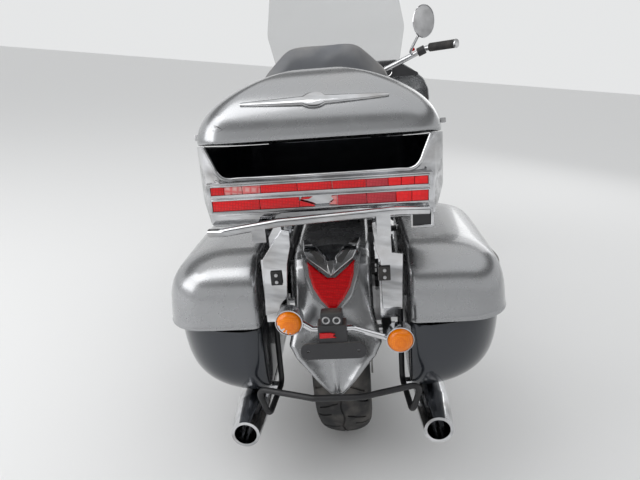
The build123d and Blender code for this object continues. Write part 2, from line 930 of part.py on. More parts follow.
with BuildPart() as trunk_tub:
    add(shell(tub_section, trunk_plan, tub_side, shell_wall))
    split(bisect_by=tub_rim, keep=Keep.BOTTOM)
    add(
        prism(
            Plane.YZ,
            [
                (-notch_low, notch_bottom, 22),
                (-notch_high, tub_over, 2),
                (notch_high, tub_over, 2),
                (notch_low, notch_bottom, 22),
            ],
            trunk_rear_x - 30,
            trunk_rear_x + 36,
        ),
        mode=Mode.SUBTRACT,
    )
    for side in (1, -1):
        near, away = sorted((side * 118, side * 162))
        add(rod((lid_hinge.X, near, lid_hinge.Z), (lid_hinge.X, away, lid_hinge.Z), hinge_pin))
        for start, end in ((118, 127), (153, 162)):
            near, away = sorted((side * start, side * end))
            add(rod((lid_hinge.X, near, lid_hinge.Z), (lid_hinge.X, away, lid_hinge.Z), hinge_knuckle))
            lug_front = lid_hinge.X + hinge_knuckle
            lug_foot = trunk_parting - 24
            add(slab((trunk_front_x - 2, near, lug_foot), (lug_front, away, trunk_parting - 4)))
            add(slab((trunk_front_x + 2, near, lug_foot), (lug_front, away, lid_hinge.Z)))

with BuildPart() as trunk_lid:
    add(shell(trunk_section, trunk_plan, trunk_side, shell_wall))
    split(bisect_by=Plane.XY.offset(trunk_parting), keep=Keep.TOP)
    for side in (1, -1):
        near, away = sorted((side * 127.4, side * 152.6))
        add(rod((lid_hinge.X, near, lid_hinge.Z), (lid_hinge.X, away, lid_hinge.Z), hinge_knuckle))
        add(slab((trunk_front_x - 9, near, trunk_parting + 2), (lid_hinge.X, away, trunk_parting + 9)))
        add(
            rod((lid_hinge.X, near, lid_hinge.Z), (lid_hinge.X, away, lid_hinge.Z), hinge_pin + hinge_play),
            mode=Mode.SUBTRACT,
        )

lamp_bar_half = 228.0
bar_low = trunk_bottom + 38
bar_high = trunk_bottom + 104
strip_low = bar_low + 20
strip_high = bar_high - 15
with BuildPart() as light_bar:
    add(
        prism(
            Plane.YZ,
            [
                (-lamp_bar_half, bar_low, 8),
                (-lamp_bar_half, bar_high, 8),
                (lamp_bar_half, bar_high, 8),
                (lamp_bar_half, bar_low, 8),
            ],
            trunk_rear_x - 14,
            trunk_rear_x - seat_gap,
        )
    )

with BuildPart() as brake_strips:
    for height, half in ((strip_low, 10.5), (strip_high, 8)):
        add(
            slab(
                (trunk_rear_x - 20, -lamp_bar_half + 11, height - half),
                (trunk_rear_x - 14 - seat_gap, lamp_bar_half - 11, height + half),
            )
        )

# Side bags
bag_section = [
    (bag_inner, 322, 25),
    (296, bag_bottom, 60),
    (390, 352, 90),
    (bag_outer, 500, 110),
    (bag_outer, 600, 110),
    (396, bag_top - 20, 90),
    (bag_inner, bag_top, 25),
]
bag_plan = [
    (bag_rear_x, bag_inner - 30, 25),
    (bag_rear_x, 350, 110),
    (-230, 440, 160),
    (60, bag_outer, 200),
    (bag_front_x, 384, 70),
    (bag_front_x, bag_inner - 30, 25),
]
bag_side = [
    (-300, bag_bottom, 60),
    (bag_rear_x, 396, 70),
    (bag_rear_x, 630, 100),
    (-230, bag_top - 6, 120),
    (80, bag_top, 150),
    (bag_front_x, 630, 60),
    (bag_front_x, 400, 70),
    (120, bag_bottom, 60),
]
bag_pin = 3.0
bag_knuckle = 6.0
bag_hinge = Vector(0, bag_outer + bag_knuckle, bag_parting)
bag_hinge_spots = (-40.0, 40.0)
with BuildPart() as bag_left:
    add(shell(bag_section, bag_plan, bag_side, shell_wall))
    split(bisect_by=Plane.XY.offset(bag_parting - parting_gap), keep=Keep.BOTTOM)
    for x in bag_hinge_spots:
        add(rod((x - 16, bag_hinge.Y, bag_hinge.Z), (x + 16, bag_hinge.Y, bag_hinge.Z), bag_pin))
        for start in (x - 16, x + 8):
            add(rod((start, bag_hinge.Y, bag_hinge.Z), (start + 8, bag_hinge.Y, bag_hinge.Z), bag_knuckle))
            lug_top = bag_parting - parting_gap
            add(slab((start, bag_outer - 9, bag_parting - 12), (start + 8, bag_hinge.Y, lug_top)))

with BuildPart() as bag_lid_left:
    add(shell(bag_section, bag_plan, bag_side, shell_wall))
    split(bisect_by=Plane.XY.offset(bag_parting), keep=Keep.TOP)
    for x in bag_hinge_spots:
        add(rod((x - 7.6, bag_hinge.Y, bag_hinge.Z), (x + 7.6, bag_hinge.Y, bag_hinge.Z), bag_knuckle))
        add(slab((x - 7.6, bag_outer - 9, bag_parting), (x + 7.6, bag_hinge.Y, bag_parting + 6)))
        add(
            rod((x - 8, bag_hinge.Y, bag_hinge.Z), (x + 8, bag_hinge.Y, bag_hinge.Z), bag_pin + hinge_play),
            mode=Mode.SUBTRACT,
        )

with BuildPart() as bag_right:
    add(mirror(bag_left.part, about=Plane.XZ))

with BuildPart() as bag_lid_right:
    add(mirror(bag_lid_left.part, about=Plane.XZ))

# Fairing
fairing_section = [
    (-150, 700, 60),
    (-330, 760, 80),
    (-fairing_half, 930, 90),
    (-440, 1050, 70),
    (-300, 1150, 60),
    (300, 1150, 60),
    (440, 1050, 70),
    (fairing_half, 930, 90),
    (330, 760, 80),
    (150, 700, 60),
]
fairing_plan = [
    (fairing_rear_x, -fairing_half, 10),
    (fairing_rear_x + 75, -fairing_half, 60),
    (fairing_rear_x + 225, -340, 120),
    (nose_x, -110, 60),
    (nose_x, 110, 60),
    (fairing_rear_x + 225, 340, 120),
    (fairing_rear_x + 75, fairing_half, 60),
    (fairing_rear_x, fairing_half, 10),
]
fairing_side = [
    (fairing_rear_x, 760, 5),
    (fairing_rear_x + 135, 700, 60),
    (nose_x - 36, 745, 60),
    (nose_x, 820, 40),
    (nose_x, 950, 40),
    (nose_x - 106, 1060, 90),
    (fairing_rear_x + 95, 1146, 20),
    (fairing_rear_x, 1146, 5),
]
fork_sweep_radius = 172.0
lamp_height = 884.0
with BuildPart() as fairing_shell:
    add(three_view(fairing_section, fairing_plan, fairing_side))
    add(
        three_view(
            shrunk(fairing_section, shell_wall),
            shrunk(fairing_plan, shell_wall),
            shrunk(fairing_side, shell_wall),
        ),
        mode=Mode.SUBTRACT,
    )
    split(bisect_by=Plane.YZ.offset(fairing_rear_x + 12), keep=Keep.TOP)
    add(
        rod(
            neck.from_local_coords((0, 0, 700)),
            neck.from_local_coords((0, 0, 980)),
            fork_sweep_radius,
        ),
        mode=Mode.SUBTRACT,
    )
    add(rod((fairing_rear_x + 139, 0, lamp_height), (nose_x - 3, 0, lamp_height), 14))

with BuildPart() as instrument_panel:
    add(
        prism(
            Plane.YZ,
            [
                (-418, 1068, 8),
                (-392, 1084, 8),
                (-285, 1140, 30),
                (285, 1140, 30),
                (392, 1084, 8),
                (418, 1068, 8),
            ],
            fairing_rear_x + 2,
            fairing_rear_x + 12 - seat_gap,
        )
    )

# Two large dials between two small ones on either side
dials = ((62, 1088, 46), (168, 1096, 26), (244, 1096, 26))
dial_depth = 12.0
with BuildPart() as gauges:
    for y, height, radius in dials:
        for side in (1, -1):
            face = Vector(fairing_rear_x + 2 - seat_gap, side * y, height)
            add(rod(face, face - Vector(dial_depth, 0, 0), radius))
            well = face - Vector(dial_depth / 2, 0, 0)
            add(rod(well, well - Vector(dial_depth, 0, 0), radius - 5), mode=Mode.SUBTRACT)

glass_lean = radians(windshield_lean_deg)
glass_up = Vector(-sin(glass_lean), 0, cos(glass_lean))
glass_foot = Vector(fairing_rear_x + 107, 0, 1146)
glass = Plane(origin=glass_foot, x_dir=(0, 1, 0), z_dir=glass_up)
with BuildPart() as windshield:
    with BuildSketch(glass):
        with BuildLine():
            ThreePointArc((-windshield_half, 70), (0, 0), (windshield_half, 70))
            Line((windshield_half, 70), (windshield_half, 70 + windshield_thickness))
            ThreePointArc(
                (windshield_half, 70 + windshield_thickness),
                (0, windshield_thickness),
                (-windshield_half, 70 + windshield_thickness),
            )
            Line((-windshield_half, 70 + windshield_thickness), (-windshield_half, 70))
        make_face()
    extrude(amount=520)
    with BuildSketch(Plane.YZ):
        with BuildLine():
            FilletPolyline(
                (-305, 1100),
                (-windshield_half, 1300),
                (-280, windshield_top - 30),
                (-150, windshield_top),
                (150, windshield_top),
                (280, windshield_top - 30),
                (windshield_half, 1300),
                (305, 1100),
                radius=[5, 120, 60, 60, 60, 60, 120, 5],
                close=True,
            )
        make_face()
    extrude(amount=far, mode=Mode.INTERSECT)
    fairing_below = three_view(fairing_section, fairing_plan, fairing_side)
    add(fairing_below.moved(Pos(0, 0, seat_gap)), mode=Mode.SUBTRACT)

lamp_radius = 96.0
with BuildPart() as headlamp:
    add(rod((nose_x + seat_gap, 0, lamp_height), (nose_x + 40, 0, lamp_height), lamp_radius))

# Lamps whose cups lie on the fairing's slanted front
fairing_clear = three_view(fairing_section, fairing_plan, fairing_side).moved(Pos(seat_gap, 0, 0))
with BuildPart() as passing_lamps:
    for side in (1, -1):
        place = Vector(nose_x - 96, side * 236, lamp_height - 36)
        add(rod(place, place + Vector(86, 0, 0), 58))
    add(fairing_clear, mode=Mode.SUBTRACT)

with BuildPart() as front_signals:
    for side in (1, -1):
        place = Vector(nose_x - 180, side * 352, lamp_height + 34)
        add(rod(place, place + Vector(104, 0, 0), 30))
    add(fairing_clear, mode=Mode.SUBTRACT)

# Lower bodywork
with BuildPart() as leg_shields:
    for side in (1, -1):
        low, high = sorted((side * 215, side * 385))
        add(
            prism(
                Plane.YZ,
                [(low, 300, 30), (low, 640, 30), (high, 680, 40), (high, 330, 60)],
                guard_x + guard_tube + seat_gap,
                guard_x + guard_tube + seat_gap + 6,
            )
        )

with BuildPart() as engine_guards:
    for side in (1, -1):
        add(
            bar(
                [
                    (guard_x - 23, side * 123.4, 480),
                    (guard_x, side * 330, 500),
                    (guard_x, side * 395, 440),
                    (guard_x, side * 360, 290),
                    (guard_x - 54, side * 136, 240),
                ],
                guard_tube,
                34,
            )
        )

def rail_y(x):
    """Half spacing of the lower rails at a place along them."""
    return rail_rear_half + (rail_half - rail_rear_half) * (x - rail_rear_x) / (rail_front_x - rail_rear_x)


with BuildPart() as floorboards:
    for side in (1, -1):
        low, high = sorted((side * 250, side * 350))
        add(slab((880, low, 262), (1120, high, 276)))
        low, high = sorted((side * (rail_y(990) + tube_radius - 2 + seat_gap), side * 262))
        add(slab((960, low, rail_height - 6), (990, high, rail_height + 6)))
        low, high = sorted((side * 250, side * 262))
        add(slab((960, low, rail_height - 6), (990, high, 264)))

# Fork, drawn straight ahead in the neck plane
clamp_thickness = 26.0
clamp_gap = 5.0
lower_clamp = head_low - clamp_gap - clamp_thickness
upper_clamp = head_high + clamp_gap
slider_top = front_axle_height + 340
fender_inner = front_radius + 14
fender_half_width = 80.0
with BuildPart() as fork:
    for level in (lower_clamp, upper_clamp):
        with BuildSketch(neck.offset(level)):
            with BuildLine():
                FilletPolyline(
                    (-34, -52),
                    (-26, -fork_half - 30),
                    (44, -fork_half - 30),
                    (52, -40),
                    (52, 40),
                    (44, fork_half + 30),
                    (-26, fork_half + 30),
                    (-34, 52),
                    radius=14,
                    close=True,
                )
            make_face()
        extrude(amount=clamp_thickness)
    with BuildSketch(neck.offset(lower_clamp)):
        Circle(stem_radius)
    extrude(amount=upper_clamp + clamp_thickness - lower_clamp)
    for side in (1, -1):
        with BuildSketch(neck.offset(front_axle_height - 30)):
            with Locations((front_axle_offset, side * fork_half)):
                Circle(fork_slider_radius)
        extrude(amount=slider_top - front_axle_height + 30)
        with BuildSketch(neck.offset(slider_top - 20)):
            with Locations((front_axle_offset, side * fork_half)):
                Circle(fork_tube_radius)
        extrude(amount=upper_clamp + clamp_thickness + 6 - slider_top + 20)
        low, high = sorted((side * (fender_half_width + seat_gap), side * fork_half))
        with BuildSketch(neck.offset(front_axle_height + 272)):
            with Locations((front_axle_offset, (low + high) / 2)):
                Rectangle(40, high - low)
        extrude(amount=50)
    add(
        rod(
            (wheelbase, -fork_half - 60, front_radius),
            (wheelbase, fork_half + 60, front_radius),
            front_axle_radius,
        ),
        mode=Mode.SUBTRACT,
    )

axle_reach = fork_half + fork_slider_radius
with BuildPart() as front_axle:
    end = axle_reach + 10
    add(rod((wheelbase, -end, front_radius), (wheelbase, end, front_radius), front_axle_radius))
    for side in (1, -1):
        low, high = sorted((side * (axle_reach + seat_gap), side * (axle_reach + 10)))
        add(rod((wheelbase, low, front_radius), (wheelbase, high, front_radius), 18))

riser = 24.0
bar_clamp = neck.from_local_coords((0, 0, upper_clamp + clamp_thickness + riser))
bar_knee = Vector(wheelbase - 555, 150, 1046)
grip_inner = Vector(wheelbase - 697, 378, 1092)
grip_outer = Vector(wheelbase - 815, 446, 1078)
with BuildPart() as handlebar:
    half_bar = [
        (bar_clamp.X, 60, bar_clamp.Z),
        tuple(bar_knee),
        tuple(grip_inner),
        tuple(grip_outer),
    ]
    add(bar([(x, -y, z) for x, y, z in reversed(half_bar)] + half_bar, bar_radius, 40))
    for side in (1, -1):
        foot = neck.from_local_coords((0, side * 36, upper_clamp + clamp_thickness + seat_gap))
        add(rod(foot, foot + neck_dir * (riser - seat_gap), 15))

grip_dir = (grip_outer - grip_inner).normalized()
with BuildPart() as hand_grips:
    for side in (1, -1):
        inner = Vector(grip_inner.X, side * grip_inner.Y, grip_inner.Z)
        along = Vector(grip_dir.X, side * grip_dir.Y, grip_dir.Z)
        add(rod(inner + along * 11, inner + along * (grip_length + 6), grip_radius, bar_radius + seat_gap))

# Switch housings beside the grips and the levers in front of them
with BuildPart() as hand_controls:
    for side in (1, -1):
        inner = Vector(grip_inner.X, side * grip_inner.Y, grip_inner.Z)
        along = Vector(grip_dir.X, side * grip_dir.Y, grip_dir.Z)
        inward = (Vector(bar_knee.X, side * bar_knee.Y, bar_knee.Z) - inner).normalized()
        ahead = inward.cross(Vector(0, 0, -side)).normalized()
        add(rod(inner + inward * 13, inner + inward * 50, 20, bar_radius + seat_gap))
        knuckle = inner + inward * 24 + ahead * 52
        add(bar([inner + inward * 30 + ahead * 15, knuckle, knuckle + along * 160], 5.5, 14))

with BuildPart() as mirror_right:
    foot = Vector(wheelbase - 655, -310.5, 1078.4 + bar_radius + 1.2)
    head = Vector(wheelbase - 657, -398, 1262)
    add(bar([foot, foot + Vector(0, -10, 50), head], 6, 20))
    face = Plane(origin=head + Vector(6, 0, 46), x_dir=(0, 1, 0), z_dir=(-1, 0, 0))
    with BuildSketch(face.offset(-14)):
        RectangleRounded(104, 168, 50)
    extrude(amount=28)

fender_start_deg = 28.0
fender_wrap_deg = 172.0
fender_plane = Plane(origin=front_axle_point, z_dir=(0, 0, 1)).rotated((0, -fender_start_deg, 0))
with BuildPart() as front_fender:
    with BuildSketch(fender_plane):
        with BuildLine():
            half = fender_half_width
            ThreePointArc((fender_inner - 26, -half), (fender_inner + 4, 0), (fender_inner - 26, half))
            Line((fender_inner - 26, half), (fender_inner - 74, half))
            Line((fender_inner - 74, half), (fender_inner - 74, half - 4))
            Line((fender_inner - 74, half - 4), (fender_inner - 28, half - 4))
            ThreePointArc((fender_inner - 28, half - 4), (fender_inner, 0), (fender_inner - 28, 4 - half))
            Line((fender_inner - 28, 4 - half), (fender_inner - 74, 4 - half))
            Line((fender_inner - 74, 4 - half), (fender_inner - 74, -half))
            Line((fender_inner - 74, -half), (fender_inner - 26, -half))
        make_face()
    revolve(axis=Axis(front_axle_point, (0, -1, 0)), revolution_arc=fender_wrap_deg)

with BuildPart() as front_calipers:
    for side in (1, -1):
        disc_out = front_hub_half + seat_gap + disc_thickness
        low, high = sorted((side * (disc_out + 3), side * (disc_out + 20)))
        with BuildSketch(neck.offset(front_axle_height + 90)):
            with Locations((front_axle_offset - 82, (low + high) / 2)):
                Rectangle(60, high - low)
        extrude(amount=70)
        low, high = sorted((side * (disc_out + 16), side * fork_half))
        reach = front_axle_offset - fork_slider_radius - seat_gap
        with BuildSketch(neck.offset(front_axle_height + 100)):
            with Locations((reach - 30, (low + high) / 2)):
                Rectangle(60, high - low)
        extrude(amount=44)


# Parking pose: lean onto the stand, then drop the nose onto the turned front tyre
def crown_radius(width, drop):
    """Radius of a tyre's crown arc from its width and drop."""
    half = width / 2 * 0.85
    return (half * half + drop * drop) / (2 * drop)


def lowest(pose, centre, axle_dir, radius, crown):
    """Height of a leaning tyre's lowest point in a pose."""
    middle = (pose * Pos(*centre)).position
    tip = (pose * Pos(*(centre + axle_dir))).position
    dip = tip.Z - middle.Z
    return middle.Z - (radius - crown) * sqrt(1 - dip * dip) - crown


def turned_by(angle):
    """The steering turned by an angle in degrees about the neck."""
    return neck.location * Rot(0, 0, angle) * neck.location.inverse()


steered = turned_by(lock_deg)
axle_dir = Vector(0, 1, 0)
rear_crown = crown_radius(rear_tyre_width, rear_crown_drop)
front_crown = crown_radius(front_tyre_width, front_crown_drop)
pitch_deg = 0.0
for attempt in range(6):
    parked = Rot(0, pitch_deg, 0) * Rot(-lean_deg, 0, 0)
    rear_low = lowest(parked, rear_axle_point, axle_dir, rear_radius, rear_crown)
    front_low = lowest(parked * steered, front_axle_point, axle_dir, front_radius, front_crown)
    pitch_deg += degrees((front_low - rear_low) / wheelbase)

floor_up = (parked.inverse() * Pos(0, 0, 1)).position - (parked.inverse() * Pos(0, 0, 0)).position
floor_point = (parked.inverse() * Pos(0, 0, rear_low)).position

# Side stand, drawn down
stand_over = Vector(stand_pivot.X, stand_pivot.Y, 0) + stand_reach
stand_foot = stand_over - floor_up * ((stand_over - floor_point).dot(floor_up) / floor_up.Z) * floor_up.Z
stand_down = (stand_foot - stand_pivot).normalized()
stand_folded = Vector(-1, 0.16, 0.06).normalized()
stand_axis = stand_down.cross(stand_folded).normalized()
stand_lug = 15.0
with BuildPart() as side_stand:
    eye = stand_axis * stand_lug
    add(rod(stand_pivot - eye, stand_pivot + eye, 18, stand_pin_radius + stand_play))
    leg_end = stand_foot + floor_up * stand_foot_thickness / 2
    add(rod(stand_pivot + stand_down * 15, leg_end, stand_leg_radius))
    add(rod(stand_foot, stand_foot + floor_up * stand_foot_thickness, stand_foot_radius))

with BuildPart() as stand_bracket:
    pin = stand_axis * (stand_lug + 12)
    add(rod(stand_pivot - pin, stand_pivot + pin, stand_pin_radius))
    for reach in (stand_lug + 0.4, -stand_lug - 12.4):
        plate = stand_pivot + stand_axis * reach
        add(rod(plate, plate + stand_axis * 12, 17))
    lug = stand_pivot - stand_axis * (stand_lug + 6)
    add(bar([(lug.X, rail_y(lug.X) + tube_radius + 4, rail_height - 6), tuple(lug)], 8))

# Every node, with the body it is drawn on
CHASSIS = {
    "frame_tubes": frame_tubes,
    "swingarm": swingarm,
    "rear_axle": rear_axle,
    "rear_shocks": rear_shocks,
    "drive_belt": drive_belt,
    "rear_caliper": rear_caliper,
    "crankcase": crankcase,
    "engine_covers": engine_covers,
    "cylinders": cylinders,
    "air_cleaner": air_cleaner,
    "radiator": radiator,
    "exhaust_left": exhaust_left,
    "exhaust_right": exhaust_right,
    "fuel_tank": fuel_tank,
    "rider_seat": rider_seat,
    "passenger_seat": passenger_seat,
    "backrest": backrest,
    "side_covers": side_covers,
    "rear_fender": rear_fender,
    "tail_lamp": tail_lamp,
    "plate_bracket": plate_bracket,
    "signal_stalks": signal_stalks,
    "rear_signals": rear_signals,
    "rear_guard": rear_guard,
    "trunk_rack": trunk_rack,
    "trunk_tub": trunk_tub,
    "light_bar": light_bar,
    "brake_strips": brake_strips,
    "bag_left": bag_left,
    "bag_right": bag_right,
    "fairing_shell": fairing_shell,
    "instrument_panel": instrument_panel,
    "gauges": gauges,
    "windshield": windshield,
    "headlamp": headlamp,
    "passing_lamps": passing_lamps,
    "front_signals": front_signals,
    "leg_shields": leg_shields,
    "engine_guards": engine_guards,
    "floorboards": floorboards,
    "stand_bracket": stand_bracket,
    "side_stand": side_stand,
    "bag_lid_left": bag_lid_left,
    "bag_lid_right": bag_lid_right,
    "rear_rim": rear_rim,
    "rear_tyre": rear_tyre,
    "rear_disc": rear_disc,
    "rear_pulley": rear_pulley,
}
LID = {"trunk_lid": trunk_lid}
STEERED = {
    "fork": fork,
    "front_axle": front_axle,
    "handlebar": handlebar,
    "hand_grips": hand_grips,
    "hand_controls": hand_controls,
    "mirror_right": mirror_right,
    "front_fender": front_fender,
    "front_calipers": front_calipers,
    "front_rim": front_rim,
    "front_tyre": front_tyre,
    "front_discs": front_discs,
}

hinge_frame = Pos(*lid_hinge)
lid_raised = hinge_frame * Rot(0, parting_rise_deg, 0) * hinge_frame.inverse()
leaned = {}
for pieces, pose in ((CHASSIS, parked), (LID, parked * lid_raised), (STEERED, parked * steered)):
    for node, piece in pieces.items():
        leaned[node] = pose * piece.part

boxes = [piece.bounding_box() for piece in leaned.values()]
middle_x = (min(box.min.X for box in boxes) + max(box.max.X for box in boxes)) / 2
middle_y = (min(box.min.Y for box in boxes) + max(box.max.Y for box in boxes)) / 2
settle = Pos(-middle_x, -middle_y, -rear_low)
for node, piece in leaned.items():
    placed = settle * piece
    placed.label = node
    export_step(placed, f"parts/{node}.step")
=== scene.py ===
import json
from math import atan2, cos, pi, radians, sin

import bmesh
import bpy
from mathutils import Matrix, Vector


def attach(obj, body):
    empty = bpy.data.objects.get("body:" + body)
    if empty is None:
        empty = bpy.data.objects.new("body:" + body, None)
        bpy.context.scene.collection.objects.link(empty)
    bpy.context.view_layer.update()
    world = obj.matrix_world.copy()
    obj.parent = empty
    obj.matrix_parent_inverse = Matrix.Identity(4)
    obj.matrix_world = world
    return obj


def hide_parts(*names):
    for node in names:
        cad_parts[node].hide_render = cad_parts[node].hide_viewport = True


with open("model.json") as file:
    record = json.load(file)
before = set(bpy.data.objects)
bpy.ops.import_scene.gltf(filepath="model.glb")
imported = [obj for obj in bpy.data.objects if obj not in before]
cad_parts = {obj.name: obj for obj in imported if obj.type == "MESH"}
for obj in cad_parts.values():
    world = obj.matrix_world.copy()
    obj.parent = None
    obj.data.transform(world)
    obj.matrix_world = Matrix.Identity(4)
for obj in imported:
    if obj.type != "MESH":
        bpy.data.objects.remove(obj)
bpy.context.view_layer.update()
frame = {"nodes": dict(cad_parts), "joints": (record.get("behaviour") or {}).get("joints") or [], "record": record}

print("frame loaded,", len(frame["nodes"]), "nodes")

# Every piece is drawn on the upright machine, in metres, and then leaned as it parks
stance = {
    "lean": 8.3,  # degrees towards the side stand
    "pitch": 0.449,
    "lock": 28.0,  # steering on its left stop
    "rise": 8.6,  # of the trunk's parting line towards the rear
    "axleHeight": 0.322,
}
jointOf = {joint["name"]: joint for joint in frame["joints"]}


def aboutJoint(jointName, angle):
    joint = jointOf[jointName]
    pivot = Matrix.Translation(Vector(joint["pos_m"]))
    return pivot @ Matrix.Rotation(radians(angle), 4, Vector(joint["axis"])) @ pivot.inverted()


def leaned():
    pitch, lean = radians(stance["pitch"]), radians(stance["lean"])
    turn = Matrix.Rotation(pitch, 4, "Y") @ Matrix.Rotation(-lean, 4, "X")
    axle = Vector(jointOf["rear_wheel_spin"]["pos_m"])
    return Matrix.Translation(axle - turn @ Vector((0, 0, stance["axleHeight"]))) @ turn


parked = leaned()
steered = aboutJoint("steering_turn", stance["lock"]) @ parked
lidPlace = aboutJoint("trunk_lid_hinge", stance["rise"]) @ parked

# Camera, where the photograph was taken from
viewpoint = {
    "eye": (-1.651, 0.087, 1.198),  # from the ground under the rear axle
    "yaw": 1.98,
    "down": 19.1,
    "roll": 4.3,
    "lens": 31.16,
}


def addCamera():
    yaw, down, roll = (radians(viewpoint[key]) for key in ("yaw", "down", "roll"))
    ahead = Vector((cos(yaw) * cos(down), sin(yaw) * cos(down), -sin(down)))
    right = Vector((sin(yaw), -cos(yaw), 0))
    up = right.cross(ahead)
    across = right * cos(roll) + up * sin(roll)
    above = up * cos(roll) - right * sin(roll)
    turn = Matrix((across, above, -ahead)).transposed()
    eye = parked.translation + Vector(viewpoint["eye"])
    bpy.ops.object.camera_add(location=eye, rotation=turn.to_euler())
    camera = bpy.context.object
    camera.data.sensor_width = 36
    camera.data.lens = viewpoint["lens"]
    camera.data.clip_start = 0.05
    bpy.context.scene.camera = camera


# Soft daylight from above and behind the machine
lamps = [
    # name, place, aimed at, size, watts
    ("skyLamp", (-1.8, 1.6, 3.8), (0.0, 0.0, 0.7), 1.8, 20),
    ("sideLamp", (-2.4, 4.0, 2.8), (0.0, 0.0, 0.8), 3.6, 105),
    ("frontLamp", (3.8, -2.6, 2.8), (0.3, 0.0, 0.6), 2.6, 26),
]
studio = {
    "horizon": 0.8,  # pale backdrop, which the camera sees
    "flank": 0.16,  # darker band above it, for contrast in the chrome
    "ceiling": 1.0,  # wide soft light overhead
    "floor": 0.8,
    "floorSize": 60,
}


def addLamps():
    for name, place, target, size, watts in lamps:
        aim = (Vector(target) - Vector(place)).to_track_quat("-Z", "Y").to_euler()
        bpy.ops.object.light_add(type="AREA", location=place, rotation=aim)
        lamp = bpy.context.object
        lamp.name = name
        lamp.data.size = size
        lamp.data.energy = watts


def addWorld():
    world = bpy.data.worlds.new("paleStudio")
    bpy.context.scene.world = world
    world.use_nodes = True
    tree = world.node_tree
    place = addNode(tree, "TexCoord")["Generated"]
    height = addNode(tree, "SeparateXYZ", {"Vector": place})["Z"]
    ramp = tree.nodes.new("ShaderNodeValToRGB")
    stops = [(0.0, "horizon"), (0.33, "horizon"), (0.38, "flank"), (0.6, "flank"), (0.68, "ceiling")]
    while len(ramp.color_ramp.elements) < len(stops):
        ramp.color_ramp.elements.new(0.5)
    for element, (stop, tone) in zip(ramp.color_ramp.elements, stops):
        element.position = stop
        element.color = (studio[tone] * 0.985, studio[tone] * 0.995, studio[tone], 1)
    feed(tree, ramp.inputs, {"Fac": height})
    feed(tree, tree.nodes["Background"].inputs, {"Color": ramp.outputs["Color"]})


def addFloor():
    bpy.ops.object.select_all(action="DESELECT")
    bpy.ops.mesh.primitive_plane_add(size=studio["floorSize"])
    floor = bpy.context.object
    floor.name = "floor"
    floor.data.materials.append(newFinish("paleFloor", (studio["floor"],) * 3, 0.9)[0])


# Finishes: each one has its colour variation, dust, wear and fine bump from its own nodes, and the chrome also has
# painted reflections
def feed(tree, inputs, values):
    # each value is a plain setting or another node's output
    for socket, value in values.items():
        if isinstance(value, bpy.types.NodeSocket):
            tree.links.new(value, inputs[socket])
        else:
            inputs[socket].default_value = value


def addNode(tree, kind, values=None, **settings):
    node = tree.nodes.new("ShaderNode" + kind)
    for key, value in settings.items():
        setattr(node, key, value)
    feed(tree, node.inputs, values or {})
    return node.outputs


def newFinish(name, color, roughness, metallic=0.0, **plain):
    material = bpy.data.materials.new(name)
    material.use_nodes = True
    tree = material.node_tree
    values = {"Base Color": (*color, 1), "Roughness": roughness, "Metallic": metallic, **plain}
    feed(tree, tree.nodes["Principled BSDF"].inputs, values)
    return material, tree


def painted(material, base, rough, height=None, strength=0.0, distance=0.0):
    tree, values = material.node_tree, {"Base Color": base, "Roughness": rough}
    if height:
        bump = addNode(tree, "Bump", {"Height": height, "Strength": strength, "Distance": distance})
        values["Normal"] = bump["Normal"]
    feed(tree, tree.nodes["Principled BSDF"].inputs, values)
    return material


def noiseIn(tree, scale, detail, stretch=(1, 1, 1)):
    place = addNode(tree, "TexCoord")["Object"]
    mapped = addNode(tree, "Mapping", {"Vector": place, "Scale": stretch})["Vector"]
    return addNode(tree, "TexNoise", {"Vector": mapped, "Scale": scale, "Detail": detail})["Fac"]


def cellsIn(tree, scale, randomness=1.0, distance="EUCLIDEAN"):
    place = addNode(tree, "TexCoord")["Object"]
    values = {"Vector": place, "Scale": scale, "Randomness": randomness}
    return addNode(tree, "TexVoronoi", values, distance=distance)["Distance"]


def ranged(tree, value, low, high, fromLow=0.0, fromHigh=1.0):
    values = {"Value": value, "From Min": fromLow, "From Max": fromHigh, "To Min": low, "To Max": high}
    return addNode(tree, "MapRange", values)["Result"]


def patches(tree, scale, detail, low=0.0, high=1.0, fromLow=0.0, fromHigh=1.0, stretch=(1, 1, 1)):
    return ranged(tree, noiseIn(tree, scale, detail, stretch), low, high, fromLow, fromHigh)


def mixed(tree, factor, first, second):
    # sockets 6 and 7 are the two colours, and output 2 is what they give
    first, second = ((*color, 1) if isinstance(color, tuple) else color for color in (first, second))
    return addNode(tree, "Mix", {0: factor, 6: first, 7: second}, data_type="RGBA")[2]


def dustOn(tree, scale, amount, fromLow, fromHigh):
    # patches of dust on what faces up
    normal = addNode(tree, "NewGeometry")["Normal"]
    up = ranged(tree, addNode(tree, "SeparateXYZ", {"Vector": normal})["Z"], 0.0, 1.0, 0.1, 0.95)
    dust = patches(tree, scale, 6.0, 0.0, amount, fromLow, fromHigh)
    return addNode(tree, "Math", {0: up, 1: dust}, operation="MULTIPLY", use_clamp=True)["Value"]


def shade(color, factor, lift=0.0):
    return tuple(min(1.0, part * factor + lift) for part in color)


dustColor = (0.4, 0.37, 0.33)
grimeColor = (0.33, 0.3, 0.27)
roadColor = (0.22, 0.2, 0.18)


def paintFinish(name, color, dust, roughness, metallic):
    coat = {"Coat Weight": 0.6, "Coat Roughness": 0.08}
    material, tree = newFinish(name, color, roughness, metallic, **coat)
    flake = mixed(tree, noiseIn(tree, 900, 1.0), color, shade(color, 1.02))
    base = mixed(tree, dustOn(tree, 9, dust, 0.42, 0.72), flake, dustColor)
    base = mixed(tree, patches(tree, 120, 3.0, 0.0, dust * 0.25, 0.66, 0.84), base, dustColor)
    rough = patches(tree, 26, 6.0, roughness - 0.01, roughness + 0.03, 0.4, 0.8)
    return painted(material, base, rough, noiseIn(tree, 5, 1.0), 0.02, 0.001)


